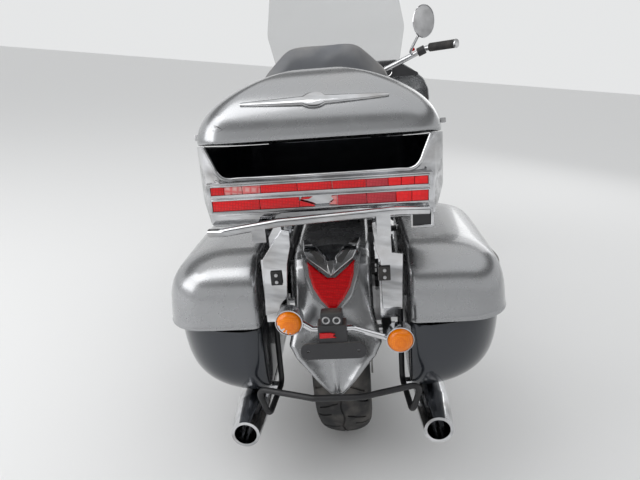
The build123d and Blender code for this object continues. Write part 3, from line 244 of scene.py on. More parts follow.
def chromeFinish(name, color=(0.56, 0.565, 0.58), roughness=0.07, grime=0.45):
    material, tree = newFinish(name, color, roughness, 1.0)
    # painted reflections: stretched streaks of lighter and darker copies of the chrome's colour
    paintedReflections = patches(tree, 9, 3.0, 0.0, 0.8, 0.44, 0.66, (1, 0.5, 2.4))
    base = mixed(tree, paintedReflections, shade(color, 1.25), shade(color, 0.32))
    base = mixed(tree, patches(tree, 22, 6.0, 0.0, grime, 0.45, 0.8), base, grimeColor)
    rough = patches(tree, 60, 5.0, roughness, roughness + 0.2, 0.45, 0.8)
    return painted(material, base, rough, noiseIn(tree, 16, 2.0), 0.35, 0.004)


def castFinish(name, color, roughness, metallic=0.9):
    material, tree = newFinish(name, color, roughness, metallic)
    base = mixed(tree, patches(tree, 18, 5.0, 0, 1, 0.35, 0.75), color, shade(color, 0.6))
    rough = patches(tree, 80, 4.0, roughness, roughness + 0.25)
    return painted(material, base, rough, noiseIn(tree, 700, 2.0), 0.25, 0.0005)


def rubberFinish(name, color, grain, dust):
    material, tree = newFinish(name, color, 0.75, 0.0, **{"Specular IOR Level": 0.35})
    base = mixed(tree, patches(tree, 14, 6.0, 0.0, dust, 0.4, 0.75), color, roadColor)
    rough = patches(tree, 40, 4.0, 0.6, 0.9)
    return painted(material, base, rough, noiseIn(tree, grain, 3.0), 0.3, 0.0006)


def vinylFinish(name, color, dust):
    material, tree = newFinish(name, color, 0.5, 0.0, **{"Specular IOR Level": 0.45})
    base = mixed(tree, patches(tree, 6, 4.0, 0, 1, 0.4, 0.7), color, shade(color, 1.35))
    base = mixed(tree, dustOn(tree, 11, dust, 0.35, 0.7), base, dustColor)
    rough = patches(tree, 35, 4.0, 0.38, 0.62)
    return painted(material, base, rough, cellsIn(tree, 420), 0.35, 0.0007)


def plasticFinish(name, color, roughness=0.45, dust=0.3):
    material, tree = newFinish(name, color, roughness)
    base = mixed(tree, dustOn(tree, 16, dust, 0.35, 0.7), color, dustColor)
    rough = patches(tree, 55, 4.0, roughness - 0.1, roughness + 0.2)
    return painted(material, base, rough, noiseIn(tree, 520, 2.0), 0.2, 0.0005)


def lensFinish(name, color, deep, ribs=170):
    gloss = {"Coat Weight": 0.35, "Coat Roughness": 0.04, "Specular IOR Level": 0.3}
    material, tree = newFinish(name, color, 0.12, 0.0, **gloss)
    cells = cellsIn(tree, ribs, 0.15, "CHEBYCHEV")
    base = mixed(tree, ranged(tree, cells, 0, 1, 0.1, 0.6), color, deep)
    base = mixed(tree, patches(tree, 12, 4.0, 0, 0.5, 0.4, 0.7), base, deep)
    return painted(material, base, patches(tree, 90, 3.0, 0.08, 0.28), cells, 0.3, 0.0012)


def clearFinish(name, color, alpha, roughness=0.05):
    glass = {"Alpha": alpha, "IOR": 1.45, "Coat Weight": 0.4, "Coat Roughness": 0.04}
    material, tree = newFinish(name, color, roughness, 0.0, **glass)
    base = mixed(tree, noiseIn(tree, 8, 5.0), color, shade(color, 1.6, 0.05))
    return painted(material, base, patches(tree, 45, 4.0, roughness, roughness + 0.12))


finish = {
    "silver_paint": paintFinish("silverPaint", (0.35, 0.355, 0.365), 0.16, 0.27, 0.85),
    "slate_paint": paintFinish("slatePaint", (0.026, 0.03, 0.038), 0.35, 0.22, 0.5),
    "black_paint": castFinish("blackPaint", (0.018, 0.018, 0.02), 0.35, 0.1),
    "chrome": chromeFinish("chrome"),
    "alloy": castFinish("alloy", (0.58, 0.58, 0.59), 0.3),
    "engine_black": castFinish("engineBlack", (0.035, 0.035, 0.038), 0.5, 0.3),
    "disc_steel": castFinish("discSteel", (0.5, 0.49, 0.48), 0.28),
    "tyre_rubber": rubberFinish("tyreRubber", (0.022, 0.022, 0.023), 300, 0.5),
    "soft_rubber": rubberFinish("softRubber", (0.024, 0.024, 0.025), 400, 0.25),
    "seat_vinyl": vinylFinish("seatVinyl", (0.035, 0.035, 0.04), 0.5),
    "pad_vinyl": vinylFinish("padVinyl", (0.11, 0.115, 0.125), 0.6),
    "black_plastic": plasticFinish("blackPlastic", (0.025, 0.025, 0.028)),
    "red_lens": lensFinish("redLens", (0.8, 0.004, 0.008), (0.42, 0.0, 0.003)),
    "amber_lens": lensFinish("amberLens", (1.0, 0.3, 0.0), (0.72, 0.14, 0.0), 220),
    "clear_screen": clearFinish("clearScreen", (0.1, 0.11, 0.12), 0.2),
    "lamp_glass": clearFinish("lampGlass", (0.85, 0.88, 0.9), 0.5),
}
lenses = {
    "red": finish["red_lens"],
    "bright": lensFinish("brightLens", (1.0, 0.012, 0.014), (0.62, 0.001, 0.005), 120),
    "faded": lensFinish("fadedLens", (0.52, 0.035, 0.05), (0.34, 0.015, 0.025)),
    "crazed": lensFinish("crazedLens", (0.66, 0.4, 0.38), (0.62, 0.03, 0.04), 75),
}
print("finishes made,", len(finish) + len(lenses) - 1)


def dressNodes():
    for part in frame["record"]["subparts"]:
        node = frame["nodes"][part["node"]]
        node.data.materials.clear()
        node.data.materials.append(finish[part["material_slot"]])


# Modelling, as by hand: start from a primitive, shape it in edit mode, finish with modifiers
def deselect():
    if bpy.context.object and bpy.context.object.mode == "EDIT":
        doneEditing()
    bpy.ops.object.select_all(action="DESELECT")


def makeActive(piece):
    deselect()
    piece.select_set(True)
    bpy.context.view_layer.objects.active = piece


def applyPlace():
    bpy.ops.object.transform_apply(location=True, rotation=True, scale=True)


def editing():
    bpy.ops.object.mode_set(mode="EDIT")
    bpy.ops.mesh.select_mode(type="FACE")


def edit(piece):
    makeActive(piece)
    editing()


def doneEditing():
    bpy.ops.object.mode_set(mode="OBJECT")


def selectAll():
    bpy.ops.mesh.select_all(action="SELECT")


def faceOutward():
    selectAll()
    bpy.ops.mesh.normals_make_consistent(inside=False)
    doneEditing()


def chooseFaces(test):  # by each face's middle and normal
    mesh = bmesh.from_edit_mesh(bpy.context.object.data)
    chosen = [face for face in mesh.faces if test(face.calc_center_median(), face.normal)]
    bpy.ops.mesh.select_all(action="DESELECT")
    for face in chosen:
        face.select_set(True)
    bmesh.update_edit_mesh(bpy.context.object.data)
    return len(chosen)


def chooseVertices(test):
    bpy.ops.mesh.select_mode(type="VERT")
    bpy.ops.mesh.select_all(action="DESELECT")
    mesh = bmesh.from_edit_mesh(bpy.context.object.data)
    for vertex in mesh.verts:
        if test(vertex.co):
            vertex.select_set(True)
    bmesh.update_edit_mesh(bpy.context.object.data)


def stacked(name, rows, corners, segments=4):
    # rows of height, rear, front, right and left, lowest first: each one is the last one's face drawn on
    deselect()
    height, rear, front, right, left = rows[0]
    bpy.ops.mesh.primitive_plane_add(size=1, location=((rear + front) / 2, (right + left) / 2, height))
    piece = bpy.context.object
    piece.name = name
    piece.scale = (front - rear, left - right, 1)
    applyPlace()
    editing()
    spine = (right + left) / 2
    for side, corner in zip((-1, 1), corners):  # the plan's corners on the right, then on the left
        chooseVertices(lambda place: (place.y - spine) * side > 0)
        bpy.ops.mesh.bevel(offset=corner, segments=segments, affect="VERTICES")
    bpy.ops.mesh.select_mode(type="FACE")
    selectAll()
    for low, high in zip(rows, rows[1:]):
        middle = [(row[1] + row[2]) / 2 for row in (low, high)]
        across = [(row[3] + row[4]) / 2 for row in (low, high)]
        move = (middle[1] - middle[0], across[1] - across[0], high[0] - low[0])
        bpy.ops.mesh.extrude_region_move(TRANSFORM_OT_translate={"value": move})
        size = ((high[2] - high[1]) / (low[2] - low[1]), (high[4] - high[3]) / (low[4] - low[3]), 1)
        bpy.ops.transform.resize(value=size, center_override=(middle[1], across[1], high[0]))
    return piece


def gridTop(segments):
    # the last face becomes a grid, so that it shades evenly
    bpy.ops.mesh.delete(type="ONLY_FACE")
    bpy.ops.mesh.select_mode(type="EDGE")
    bpy.ops.mesh.select_non_manifold(extend=False, use_wire=False, use_multi_face=False, use_verts=False)
    bpy.ops.mesh.fill_grid(span=segments + 1)


def openBottom(height):
    chooseFaces(lambda middle, normal: abs(middle.z - height) < 0.0005 and abs(normal.z) > 0.9)
    bpy.ops.mesh.delete(type="FACE")


def addModifier(piece, kind, **settings):
    modifier = piece.modifiers.new(kind.title(), kind)
    for key, value in settings.items():
        setattr(modifier, key, value)
    return modifier


def subdivided(piece, levels):
    addModifier(piece, "SUBSURF", levels=levels, render_levels=levels)


def applyModifiers(piece):
    makeActive(piece)
    for modifier in list(piece.modifiers):
        bpy.ops.object.modifier_apply(modifier=modifier.name)


def curved(name, points, smooth, closed, steps, **settings):
    # a mesh from a curve through the points
    deselect()
    bpy.ops.curve.primitive_bezier_curve_add(location=(0, 0, 0))
    path = bpy.context.object
    path.name = name
    spline = path.data.splines[0]
    spline.bezier_points.add(len(points) - 2)
    for knot, point in zip(spline.bezier_points, points):
        knot.co = point
        knot.handle_left_type = knot.handle_right_type = "AUTO" if smooth else "VECTOR"
    spline.use_cyclic_u = closed
    path.data.resolution_u = steps
    for key, value in settings.items():
        setattr(path.data, key, value)
    bpy.ops.object.convert(target="MESH")
    return bpy.context.object


def tube(name, points, radius, smooth=True, fullness=4, steps=8):
    section = {"bevel_depth": radius, "bevel_resolution": fullness, "use_fill_caps": True}
    return curved(name, points, smooth, False, steps, **section)


def cutout(name, outline, depth, bevel):
    # a flat outline with rounded edges, drawn in X and Y and centred on Z
    flat = {"dimensions": "2D", "fill_mode": "BOTH", "extrude": depth / 2 - bevel}
    edge = {"bevel_depth": bevel, "bevel_resolution": 2, "offset": -bevel}
    points = [(across, up, 0) for across, up in outline]
    return curved(name, points, False, True, 6, **flat, **edge)


def cutAcross(piece, heights):
    edit(piece)
    for height in heights:
        selectAll()
        bpy.ops.mesh.bisect(plane_co=(0, height, 0), plane_no=(0, 1, 0))
    doneEditing()


def lathe(name, rows, steps=48):
    # rows of radius and height, spun about Z
    curved(name, [(radius, 0, height) for radius, height in rows], False, False, 1)
    editing()
    selectAll()
    bpy.ops.mesh.spin(steps=steps, angle=2 * pi, center=(0, 0, 0), axis=(0, 0, 1))
    selectAll()
    bpy.ops.mesh.remove_doubles(threshold=0.00005)
    faceOutward()
    return bpy.context.object


def block(name, low, high, bevel):
    deselect()
    middle = (Vector(low) + Vector(high)) / 2
    bpy.ops.mesh.primitive_cube_add(size=1, location=middle)
    piece = bpy.context.object
    piece.name = name
    piece.scale = [abs(part) for part in Vector(high) - Vector(low)]
    applyPlace()
    addModifier(piece, "BEVEL", width=bevel, segments=2, limit_method="ANGLE")
    applyModifiers(piece)
    return piece


def moved(piece, place):
    piece.data.transform(place)
    return piece


def joined(name, pieces):
    makeActive(pieces[0])
    for piece in pieces[1:]:
        piece.select_set(True)
    bpy.ops.object.join()
    bpy.context.object.name = name
    return bpy.context.object


def mirroredCopy(piece, name):
    deselect()
    copy = bpy.data.objects.new(name, piece.data.copy())
    bpy.context.scene.collection.objects.link(copy)
    copy.data.transform(Matrix.Scale(-1, 4, (0, 1, 0)))
    edit(copy)
    faceOutward()
    return copy


def seenFromBehind(x, height=0, across=1):
    # a flat drawing's X goes across the machine, its Y up and its Z back: with across at 1 it is
    # mirrored, which leaves its faces turned inward
    return Matrix(((0, 0, -1, x), (across, 0, 0, 0), (0, 1, 0, height), (0, 0, 0, 1)))


def backward(place):
    return Matrix.Translation(place) @ Matrix.Rotation(radians(-90), 4, "Y")


def evenly(rows):
    return [(height, rear, front, -half, half) for height, rear, front, half in rows]


def shell(piece, wall, levels):
    # from edit mode: the skin just drawn gets a wall inside it and rounder curves
    faceOutward()
    addModifier(piece, "SOLIDIFY", thickness=wall, offset=-1)
    subdivided(piece, levels)


def settle(piece, slot, place=parked, replaces=(), smooth=35, material=None, body="chassis"):
    applyModifiers(piece)
    applyPlace()
    piece.data.transform(place)
    if smooth:
        bpy.ops.object.shade_smooth_by_angle(angle=radians(smooth))
    piece.data.materials.clear()
    piece.data.materials.append(material or finish[slot])
    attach(piece, body)
    if replaces:
        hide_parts(*replaces)


# Trunk lid: a domed cover with a crisp rim, open below
trunkLid = {
    "rows": [
        # height, rear, front, half width
        (0.97, -0.566, -0.1405, 0.258),
        (0.976, -0.5665, -0.143, 0.2585),
        (0.985, -0.5655, -0.15, 0.2578),
        (1.015, -0.563, -0.176, 0.249),
        (1.05, -0.544, -0.208, 0.219),
        (1.083, -0.511, -0.244, 0.168),
        (1.108, -0.471, -0.285, 0.112),
        (1.122, -0.425, -0.325, 0.06),
    ],
    "corners": (0.075, 0.075),
    "segments": 4,
    "wall": 0.004,
}


def makeTrunkLid():
    spec = trunkLid
    piece = stacked("trunkLid", evenly(spec["rows"]), spec["corners"], spec["segments"])
    gridTop(spec["segments"])
    openBottom(spec["rows"][0][0])
    shell(piece, spec["wall"], 3)
    settle(piece, "silver_paint", lidPlace, ["trunk_lid"], 50, body="trunk_lid")
    print("trunk lid made")
    return piece


# Side bags: a deep lower half, open at its mouth, under a lipped lid
sideBag = {
    "lower": [
        # height, rear, front, inner, outer
        (0.303, -0.292, 0.11, 0.2, 0.31),
        (0.311, -0.326, 0.15, 0.193, 0.354),
        (0.34, -0.364, 0.195, 0.1908, 0.404),
        (0.385, -0.385, 0.215, 0.1902, 0.434),
        (0.45, -0.391, 0.221, 0.19, 0.447),
        (0.529, -0.392, 0.222, 0.19, 0.45),
    ],
    "lid": [
        (0.5345, -0.395, 0.224, 0.1896, 0.4535),
        (0.542, -0.3955, 0.224, 0.1896, 0.454),
        (0.545, -0.3925, 0.222, 0.19, 0.4515),
        (0.59, -0.3915, 0.2205, 0.19, 0.4495),
        (0.645, -0.385, 0.212, 0.1905, 0.441),
        (0.685, -0.36, 0.188, 0.1915, 0.415),
        (0.708, -0.31, 0.14, 0.196, 0.365),
        (0.713, -0.26, 0.09, 0.21, 0.315),
    ],
    "corners": (0.022, 0.112),
    "segments": 5,
    "wall": 0.004,
    "trim": [(-0.348, 0.396, 0.64), (-0.25, 0.4365, 0.632), (-0.06, 0.4515, 0.612), (0.12, 0.449, 0.604)],
    "trimRadius": 0.0065,
}


def makeBags():
    spec = sideBag
    lower = stacked("lowerBagLeft", spec["lower"], spec["corners"], spec["segments"])
    bpy.ops.mesh.delete(type="FACE")
    shell(lower, spec["wall"], 2)
    lid = stacked("lidBagLeft", spec["lid"], spec["corners"], spec["segments"])
    gridTop(spec["segments"])
    openBottom(spec["lid"][0][0])
    shell(lid, spec["wall"], 2)
    trim = tube("bagTrimLeft", spec["trim"], spec["trimRadius"])
    halves = (
        # piece, name, slot, the body it rides on and the node it stands for, all without their side
        (lower, "lowerBag", "slate_paint", "", "bag_"),
        (lid, "lidBag", "silver_paint", "bag_lid_", "bag_lid_"),
        (trim, "bagTrim", "black_plastic", "bag_lid_", ""),
    )
    for piece, name, slot, body, node in halves:
        applyModifiers(piece)
        right = mirroredCopy(piece, name + "Right")
        for half, side in ((piece, "left"), (right, "right")):
            replaces = [node + side] if node else []
            settle(half, slot, replaces=replaces, body=body + side if body else "chassis")
    print("side bags made")


def copied(node, name):
    # the CAD piece's own skin, back on the upright machine
    deselect()
    piece = bpy.data.objects.new(name, frame["nodes"][node].data.copy())
    bpy.context.scene.collection.objects.link(piece)
    piece.data.transform(parked.inverted() @ frame["nodes"][node].matrix_world)
    edit(piece)
    selectAll()
    bpy.ops.mesh.remove_doubles(threshold=0.00002)
    return piece


# Chrome garnish over the back of the trunk, round the notch that its missing panel leaves
garnish = {
    "front": -0.486,
    "thickness": 0.0018,
    "lip": [
        # its left half, mirrored for the right
        (-0.564, 0.2265, 1.03),
        (-0.566, 0.214, 1.0),
        (-0.5675, 0.203, 0.976),
        (-0.568, 0.19, 0.9655),
        (-0.5685, 0.16, 0.964),
    ],
    "lipRadius": 0.0048,
}


def makeGarnish():
    spec = garnish
    piece = copied("trunk_tub", "trunkGarnish")
    bpy.ops.mesh.bisect(plane_co=(spec["front"], 0, 0), plane_no=(1, 0, 0), clear_outer=True)
    chooseFaces(lambda middle, normal: normal.x > 0.2 or middle.y * normal.y < -0.01 or normal.z > 0.3)
    bpy.ops.mesh.delete(type="FACE")
    doneEditing()
    addModifier(piece, "SOLIDIFY", thickness=spec["thickness"], offset=1)
    settle(piece, "chrome")
    lip = spec["lip"] + [(x, -across, height) for x, across, height in reversed(spec["lip"])]
    settle(tube("notchLip", lip, spec["lipRadius"]), "chrome")
    print("trunk garnish made")


# Light strips: two rows of lens segments in raised chrome frames
strips = {
    "base": ((-0.58, -0.228, 0.894), (-0.5664, 0.228, 0.96)),
    "rows": [
        # middle height, half height, segments as left end, right end and finish
        (0.945, 0.008, [
            (0.2165, 0.19, "red"), (0.1892, 0.153, "crazed"), (0.1522, 0.116, "crazed"),
            (0.115, 0.042, "red"), (0.0412, -0.028, "red"), (-0.0288, -0.095, "red"),
            (-0.0958, -0.1385, "faded"), (-0.1393, -0.164, "bright"), (-0.1648, -0.19, "bright"),
            (-0.1908, -0.2165, "bright"),
        ]),
        (0.914, 0.0105, [
            (0.2165, 0.12, "red"), (0.1192, 0.04, "red"), (-0.0376, -0.095, "faded"),
            (-0.0958, -0.153, "faded"), (-0.1538, -0.184, "bright"), (-0.1848, -0.2165, "bright"),
        ]),
    ],
    "face": -0.587,
    "back": -0.5803,
    "edge": 0.2168,  # half width inside the frames
    "frame": 0.0032,
    "proud": 0.0012,  # of the frames past the lenses
    "play": 0.0002,
    "lensBevel": 0.0012,
    "shardPlane": -0.5852,
    "shardCut": (0.003, 0.0004),  # thickness and rounding
    "shards": [
        # broken lens left in the lower strip's hole, as outlines of y and z
        [(0.0395, 0.9045), (0.039, 0.9165), (0.025, 0.912), (0.012, 0.907), (0.008, 0.904)],
        [(0.0385, 0.919), (0.03, 0.924), (0.012, 0.9235), (0.02, 0.919)],
        [(-0.037, 0.9045), (-0.0368, 0.9235), (-0.025, 0.9225), (-0.03, 0.914), (-0.02, 0.906)],
    ],
}


def makeStrips():
    spec = strips
    base = block("lightBar", *spec["base"], bevel=0.003)
    bars = []
    edge, width, play = spec["edge"], spec["frame"], spec["play"]
    front, back = spec["face"] - spec["proud"], spec["base"][0][0] + 0.0005
    for middle, half, segments in spec["rows"]:
        for side in (1, -1):
            near, away = middle + side * (half + play), middle + side * (half + width)
            bars.append(block("stripFrame", (front, -edge - width, near), (back, edge + width, away), 0.001))
            near, away = side * (edge + play), side * (edge + width)
            low, high = middle - half - width, middle + half + width
            bars.append(block("stripFrame", (front, near, low), (back, away, high), 0.001))
        for number, (left, right, kind) in enumerate(segments):
            corners = (spec["face"], right, middle - half), (spec["back"], left, middle + half)
            lens = block(kind + "Lens" + str(number), *corners, spec["lensBevel"])
            first = number == 0 and middle == spec["rows"][0][0]
            settle(lens, "red_lens", replaces=["brake_strips"] if first else [], material=lenses[kind])
    settle(joined("lightBar", [base] + bars), "chrome", replaces=["light_bar"])
    for number, outline in enumerate(spec["shards"]):
        shard = cutout("lensShard" + str(number), outline, *spec["shardCut"])
        moved(shard, seenFromBehind(spec["shardPlane"]))
        settle(shard, "red_lens", material=lenses["crazed" if number == 2 else "red"])
    print("light strips made")


# A plain tapered chrome moulding with an oval boss, laid on the lid's back
moulding = {
    "half": 0.149,
    "height": 1.033,
    "columns": 120,
    "rows": 12,
    "tip": 0.002,  # half height of the bar at its ends
    "swell": 0.0062,  # what its middle has more
    "boss": 0.014,
    "crown": 0.0065,  # how far its middle stands out, and what its ends have less
    "thinning": 0.003,
    "bow": 0.05,  # of the bar, up towards its ends
    "taper": 0.8,
    "oval": 0.55,  # of the boss, height to width
    "thickness": 0.0012,
    "start": -0.62,  # behind the lid, from where it is laid on
    "lift": 0.0004,
}


def mouldingHalf(across):
    spec = moulding
    bar = spec["tip"] + spec["swell"] * (1 - abs(across) / spec["half"]) ** spec["taper"]
    boss = spec["boss"] ** 2 - (across * spec["oval"]) ** 2
    return max(bar, boss ** 0.5 if boss > 0 else 0)


def makeMoulding(lid):
    spec = moulding
    deselect()
    bpy.ops.mesh.primitive_grid_add(x_subdivisions=spec["columns"], y_subdivisions=spec["rows"], size=2)
    piece = bpy.context.object
    piece.name = "lidMoulding"
    crowns = []
    for vertex in piece.data.vertices:
        across, share = vertex.co.x * spec["half"], vertex.co.y
        crowns.append((1 - share * share) ** 0.5 * (spec["crown"] - spec["thinning"] * abs(vertex.co.x)))
        height = spec["height"] + share * mouldingHalf(across) + spec["bow"] * across ** 2
        vertex.co = (spec["start"], across, height)
    piece.data.transform(lidPlace)
    onto = {"target": lid, "wrap_method": "PROJECT", "use_negative_direction": False, "use_project_x": True}
    addModifier(piece, "SHRINKWRAP", offset=spec["lift"], **onto)
    applyModifiers(piece)
    for vertex, crown in zip(piece.data.vertices, crowns):
        vertex.co.x -= crown
    addModifier(piece, "SOLIDIFY", thickness=spec["thickness"], offset=-1)
    settle(piece, "chrome", Matrix.Identity(4), body="trunk_lid")
    print("moulding made")


# Broken chrome tabs at the lid's rear corners
tabs = {
    "left": ((-0.49, 0.256, 0.982), (-0.479, 0.265, 0.994)),
    "right": ((-0.49, -0.267, 0.986), (-0.479, -0.256, 0.996)),
}


def makeTabs():
    pieces = [block("lidTab", low, high, 0.0015) for low, high in tabs.values()]
    settle(joined("lidTabs", pieces), "alloy", lidPlace, body="trunk_lid")


# Scratches on the lid's left rear corner
lidMarks = {
    "scratches": [
        [(0.219, 0.052), (0.206, 0.047), (0.196, 0.042)],
        [(0.214, 0.044), (0.199, 0.041), (0.188, 0.033)],
        [(0.222, 0.036), (0.208, 0.032)],
    ],
    "start": (-0.6, 0.975),  # behind the lid, and the height that they are counted from
    "squash": 0.9,
    "radius": 0.0007,
    "lift": 0.0002,
}


def makeLidMarks(lid):
    spec = lidMarks
    back, foot = spec["start"]
    marks = []
    for line in spec["scratches"]:
        deselect()
        points = [(back, across, foot + up * spec["squash"]) for across, up in line]
        mark = tube("lidScratch", points, spec["radius"], fullness=1, steps=6)
        mark.data.transform(lidPlace)
        onto = {"target": lid, "wrap_method": "NEAREST_SURFACEPOINT"}
        addModifier(mark, "SHRINKWRAP", offset=spec["lift"], **onto)
        applyModifiers(mark)
        marks.append(mark)
    settle(joined("lidScratches", marks), "black_plastic", Matrix.Identity(4), body="trunk_lid")


# Dark bolted pads on the posts of the rack
posts = {
    "pad": ((-0.4215, 0.117, 0.666), (-0.417, 0.145, 0.702)),
    "bolts": [0.675, 0.693],
    "boltAcross": 0.131,
    "boltHead": [(0, 0.003), (0.0042, 0.0026), (0.0042, 0), (0, 0)],
}


def makePosts():
    spec = posts
    for side, name in ((1, "Left"), (-1, "Right")):
        low, high = ((x, side * across, up) for x, across, up in spec["pad"])
        pad = block("postPad" + name, low, high, 0.0015)
        settle(pad, "soft_rubber")
        heads = []
        for height in spec["bolts"]:
            place = (low[0] - 0.0002, side * spec["boltAcross"], height)
            heads.append(moved(lathe("postBolt", spec["boltHead"], 12), backward(place)))
        settle(joined("postBolts" + name, heads), "alloy")
    print("rack posts dressed")


# Tail lamp: a V topped lens under two chrome arms
tailLamp = {
    "low": (-0.395, 0, 0.584),
    "high": (-0.341, 0, 0.696),
    "lens": [
        # across to the right and up the lamp's own plane
        (-0.0595, 0.1215), (-0.035, 0.099), (-0.01, 0.0782), (0.01, 0.0782), (0.035, 0.099),
        (0.0595, 0.1215), (0.056, 0.085), (0.046, 0.052), (0.029, 0.024), (0.009, 0.0015),
        (-0.009, 0.0015), (-0.029, 0.024), (-0.046, 0.052), (-0.056, 0.085),
    ],
    "depth": 0.0235,
    "bevel": 0.0055,
}


def lampPlane():
    low, high = Vector(tailLamp["low"]), Vector(tailLamp["high"])
    up = (high - low).normalized()
    across = Vector((0, -1, 0))
    turn = Matrix((across, up, across.cross(up))).transposed().to_4x4()
    return Matrix.Translation(low) @ turn


def makeTailLamp():
    spec = tailLamp
    plane = lampPlane()
    lens = cutout("tailLens", spec["lens"], spec["depth"], spec["bevel"])
    moved(lens, plane @ Matrix.Translation((0, 0, spec["depth"] / 2 + 0.0004)))
    settle(lens, "red_lens", replaces=["tail_lamp"])
    print("tail lamp made")


# Turn signals: round lenses facing back in chrome cups, the left one broken
signals = {
    "places": (("Left", (-0.4745, 0.103, 0.59)), ("Right", (-0.4745, -0.16, 0.534))),
    "lens": [(0, 0.0176), (0.011, 0.0168), (0.0205, 0.0138), (0.0268, 0.009), (0.0294, 0.004), (0.0298, 0)],
    "lensWall": 0.0018,
    "break": (0.0215, 0.004, 900),  # how far from its middle, how ragged and how finely
    "cup": [
        (0, -0.032), (0.018, -0.0315), (0.029, -0.025), (0.0325, -0.012), (0.0333, 0.001),
        (0.0312, 0.0018), (0.0302, 0.0004), (0.025, -0.006), (0, -0.008),
    ],
    "steps": 40,
}


def makeSignals():
    spec = signals
    for name, place in spec["places"]:
        lens = lathe("signalLens" + name, spec["lens"], spec["steps"])
        if name == "Left":
            edit(lens)
            # past a ragged edge the lens is gone
            away, ragged, fine = spec["break"]
            chooseFaces(lambda at, normal: at.y - at.x > away + ragged * sin(at.y * fine))
            bpy.ops.mesh.delete(type="FACE")
            doneEditing()
        addModifier(lens, "SOLIDIFY", thickness=spec["lensWall"], offset=-1)
        replaces = ["rear_signals"] if name == "Left" else []
        settle(moved(lens, backward(place)), "amber_lens", replaces=replaces)
        cup = lathe("signalCup" + name, spec["cup"], spec["steps"])
        settle(moved(cup, backward(place)), "chrome")
    print("turn signals made")


# Number plate holder: two white screws on its black arm and what is left of a reflector
plateArm = {
    "arm": ((-0.488, -0.026, 0.58), (-0.456, 0.026, 0.618)),
    "rings": [(-0.4885, 0.013, 0.6), (-0.4885, -0.012, 0.599)],
    "ringRadii": (0.0078, 0.002),
    "reflector": [(-0.03, 0), (-0.03, 0.013), (-0.004, 0.0135), (0.007, 0.01), (0.001, 0.006), (0.009, 0.001)],
    "reflectorCut": (0.004, 0.0008),
    "reflectorPlane": -0.493,
    "reflectorHeight": 0.556,
}


def makePlateArm():
    spec = plateArm
    settle(block("plateArm", *spec["arm"], bevel=0.004), "black_plastic")
    major, minor = spec["ringRadii"]
    rings = []
    for place in spec["rings"]:
        deselect()
        bpy.ops.mesh.primitive_torus_add(
            major_radius=major, minor_radius=minor, major_segments=28, minor_segments=10
        )
        turn = Matrix.Rotation(radians(90), 4, "Y")
        rings.append(moved(bpy.context.object, Matrix.Translation(place) @ turn))
    settle(joined("plateRings", rings), "alloy")
    reflector = cutout("plateReflector", spec["reflector"], *spec["reflectorCut"])
    moved(reflector, seenFromBehind(spec["reflectorPlane"], spec["reflectorHeight"], -1))
    settle(reflector, "red_lens")
    print("plate holder dressed")


# Tyres: a closed section spun about the axle, with a wavy centre groove and curved side grooves
tyres = {
    "section": [
        # depth from the bead as a share, half width as a share
        (0.0, 0.8), (0.14, 0.94), (0.38, 1.0), (0.61, 0.965), (0.76, 0.875), (0.84, 0.775),
        (0.89, 0.66), (0.93, 0.535), (0.96, 0.4), (0.98, 0.26), (0.993, 0.12), (0.999, 0.035),
    ],
    "bead": 0.2146,
    "steps": 240,
    "sweep": 0.17,
    "wave": (0.004, 18),
    "waveSpan": 0.35,  # share of the half width over which the wave dies out
    "centre": 0.04,  # half the centre groove, and the spans of the long and the short ones
    "long": (0.2, 0.8),
    "short": (0.46, 0.83),
    "shoulder": 0.7,  # share of the depth below which there are none
    "every": 15,  # steps from groove to groove, then on to the short one and across to the left
    "shortAfter": 5,
    "stagger": 7,
    "grooveDepth": 0.0045,
    "liner": (0.004, 0.62),
    "wheels": [
        # node, radius, half width, axle, body
        ("rear_tyre", 0.322, 0.085, (0, 0, 0.322), "rear_wheel"),
        ("front_tyre", 0.32, 0.065, (1.665, 0, 0.32), "front_wheel"),
    ],
}


def makeTyre(node, radius, half, axle, body, place):
    spec = tyres
    depth = radius - spec["bead"]
    side = [(spec["bead"] + deep * depth, -wide * half) for deep, wide in spec["section"]]
    rise, inner = spec["liner"]
    liner = [(spec["bead"] + rise, half * inner), (spec["bead"] + rise, -half * inner)]
    rows = side + [(reach, -height) for reach, height in reversed(side)] + liner + side[:1]
    piece = lathe(node + "Tread", rows, spec["steps"])
    swell, waves = spec["wave"]
    for vertex in piece.data.vertices:
        x, y, height = vertex.co
        share = abs(height) / half
        turn = atan2(y, x) + spec["sweep"] * share ** 1.5
        reach = (x * x + y * y) ** 0.5
        shift = swell * sin(turn * waves) * max(0, 1 - share / spec["waveSpan"]) if reach > radius - 0.01 else 0
        vertex.co = (reach * cos(turn), reach * sin(turn), height + shift)
    edit(piece)
    step = 2 * pi / spec["steps"]

    def inGroove(middle, normal):
        reach, turn = (middle.x ** 2 + middle.y ** 2) ** 0.5, atan2(middle.y, middle.x)
        if reach < spec["bead"] + spec["shoulder"] * depth:
            return False
        share = abs(middle.z) / half
        if abs(middle.z - swell * sin(turn * waves)) < half * spec["centre"]:
            return True
        sector = int((turn - spec["sweep"] * share ** 1.5) / step + spec["steps"] * 2)
        along = (sector + (0 if middle.z > 0 else spec["stagger"])) % spec["every"]
        low, high = spec["long"] if along == 0 else spec["short"]
        return along in (0, spec["shortAfter"]) and low < share < high

    print(node, "groove faces", chooseFaces(inGroove))
    bpy.ops.mesh.extrude_region_shrink_fatten(TRANSFORM_OT_shrink_fatten={"value": -spec["grooveDepth"]})
    doneEditing()
    moved(piece, Matrix.Translation(axle) @ Matrix.Rotation(radians(90), 4, "X"))
    settle(piece, "tyre_rubber", place, [node], 28, body=body)


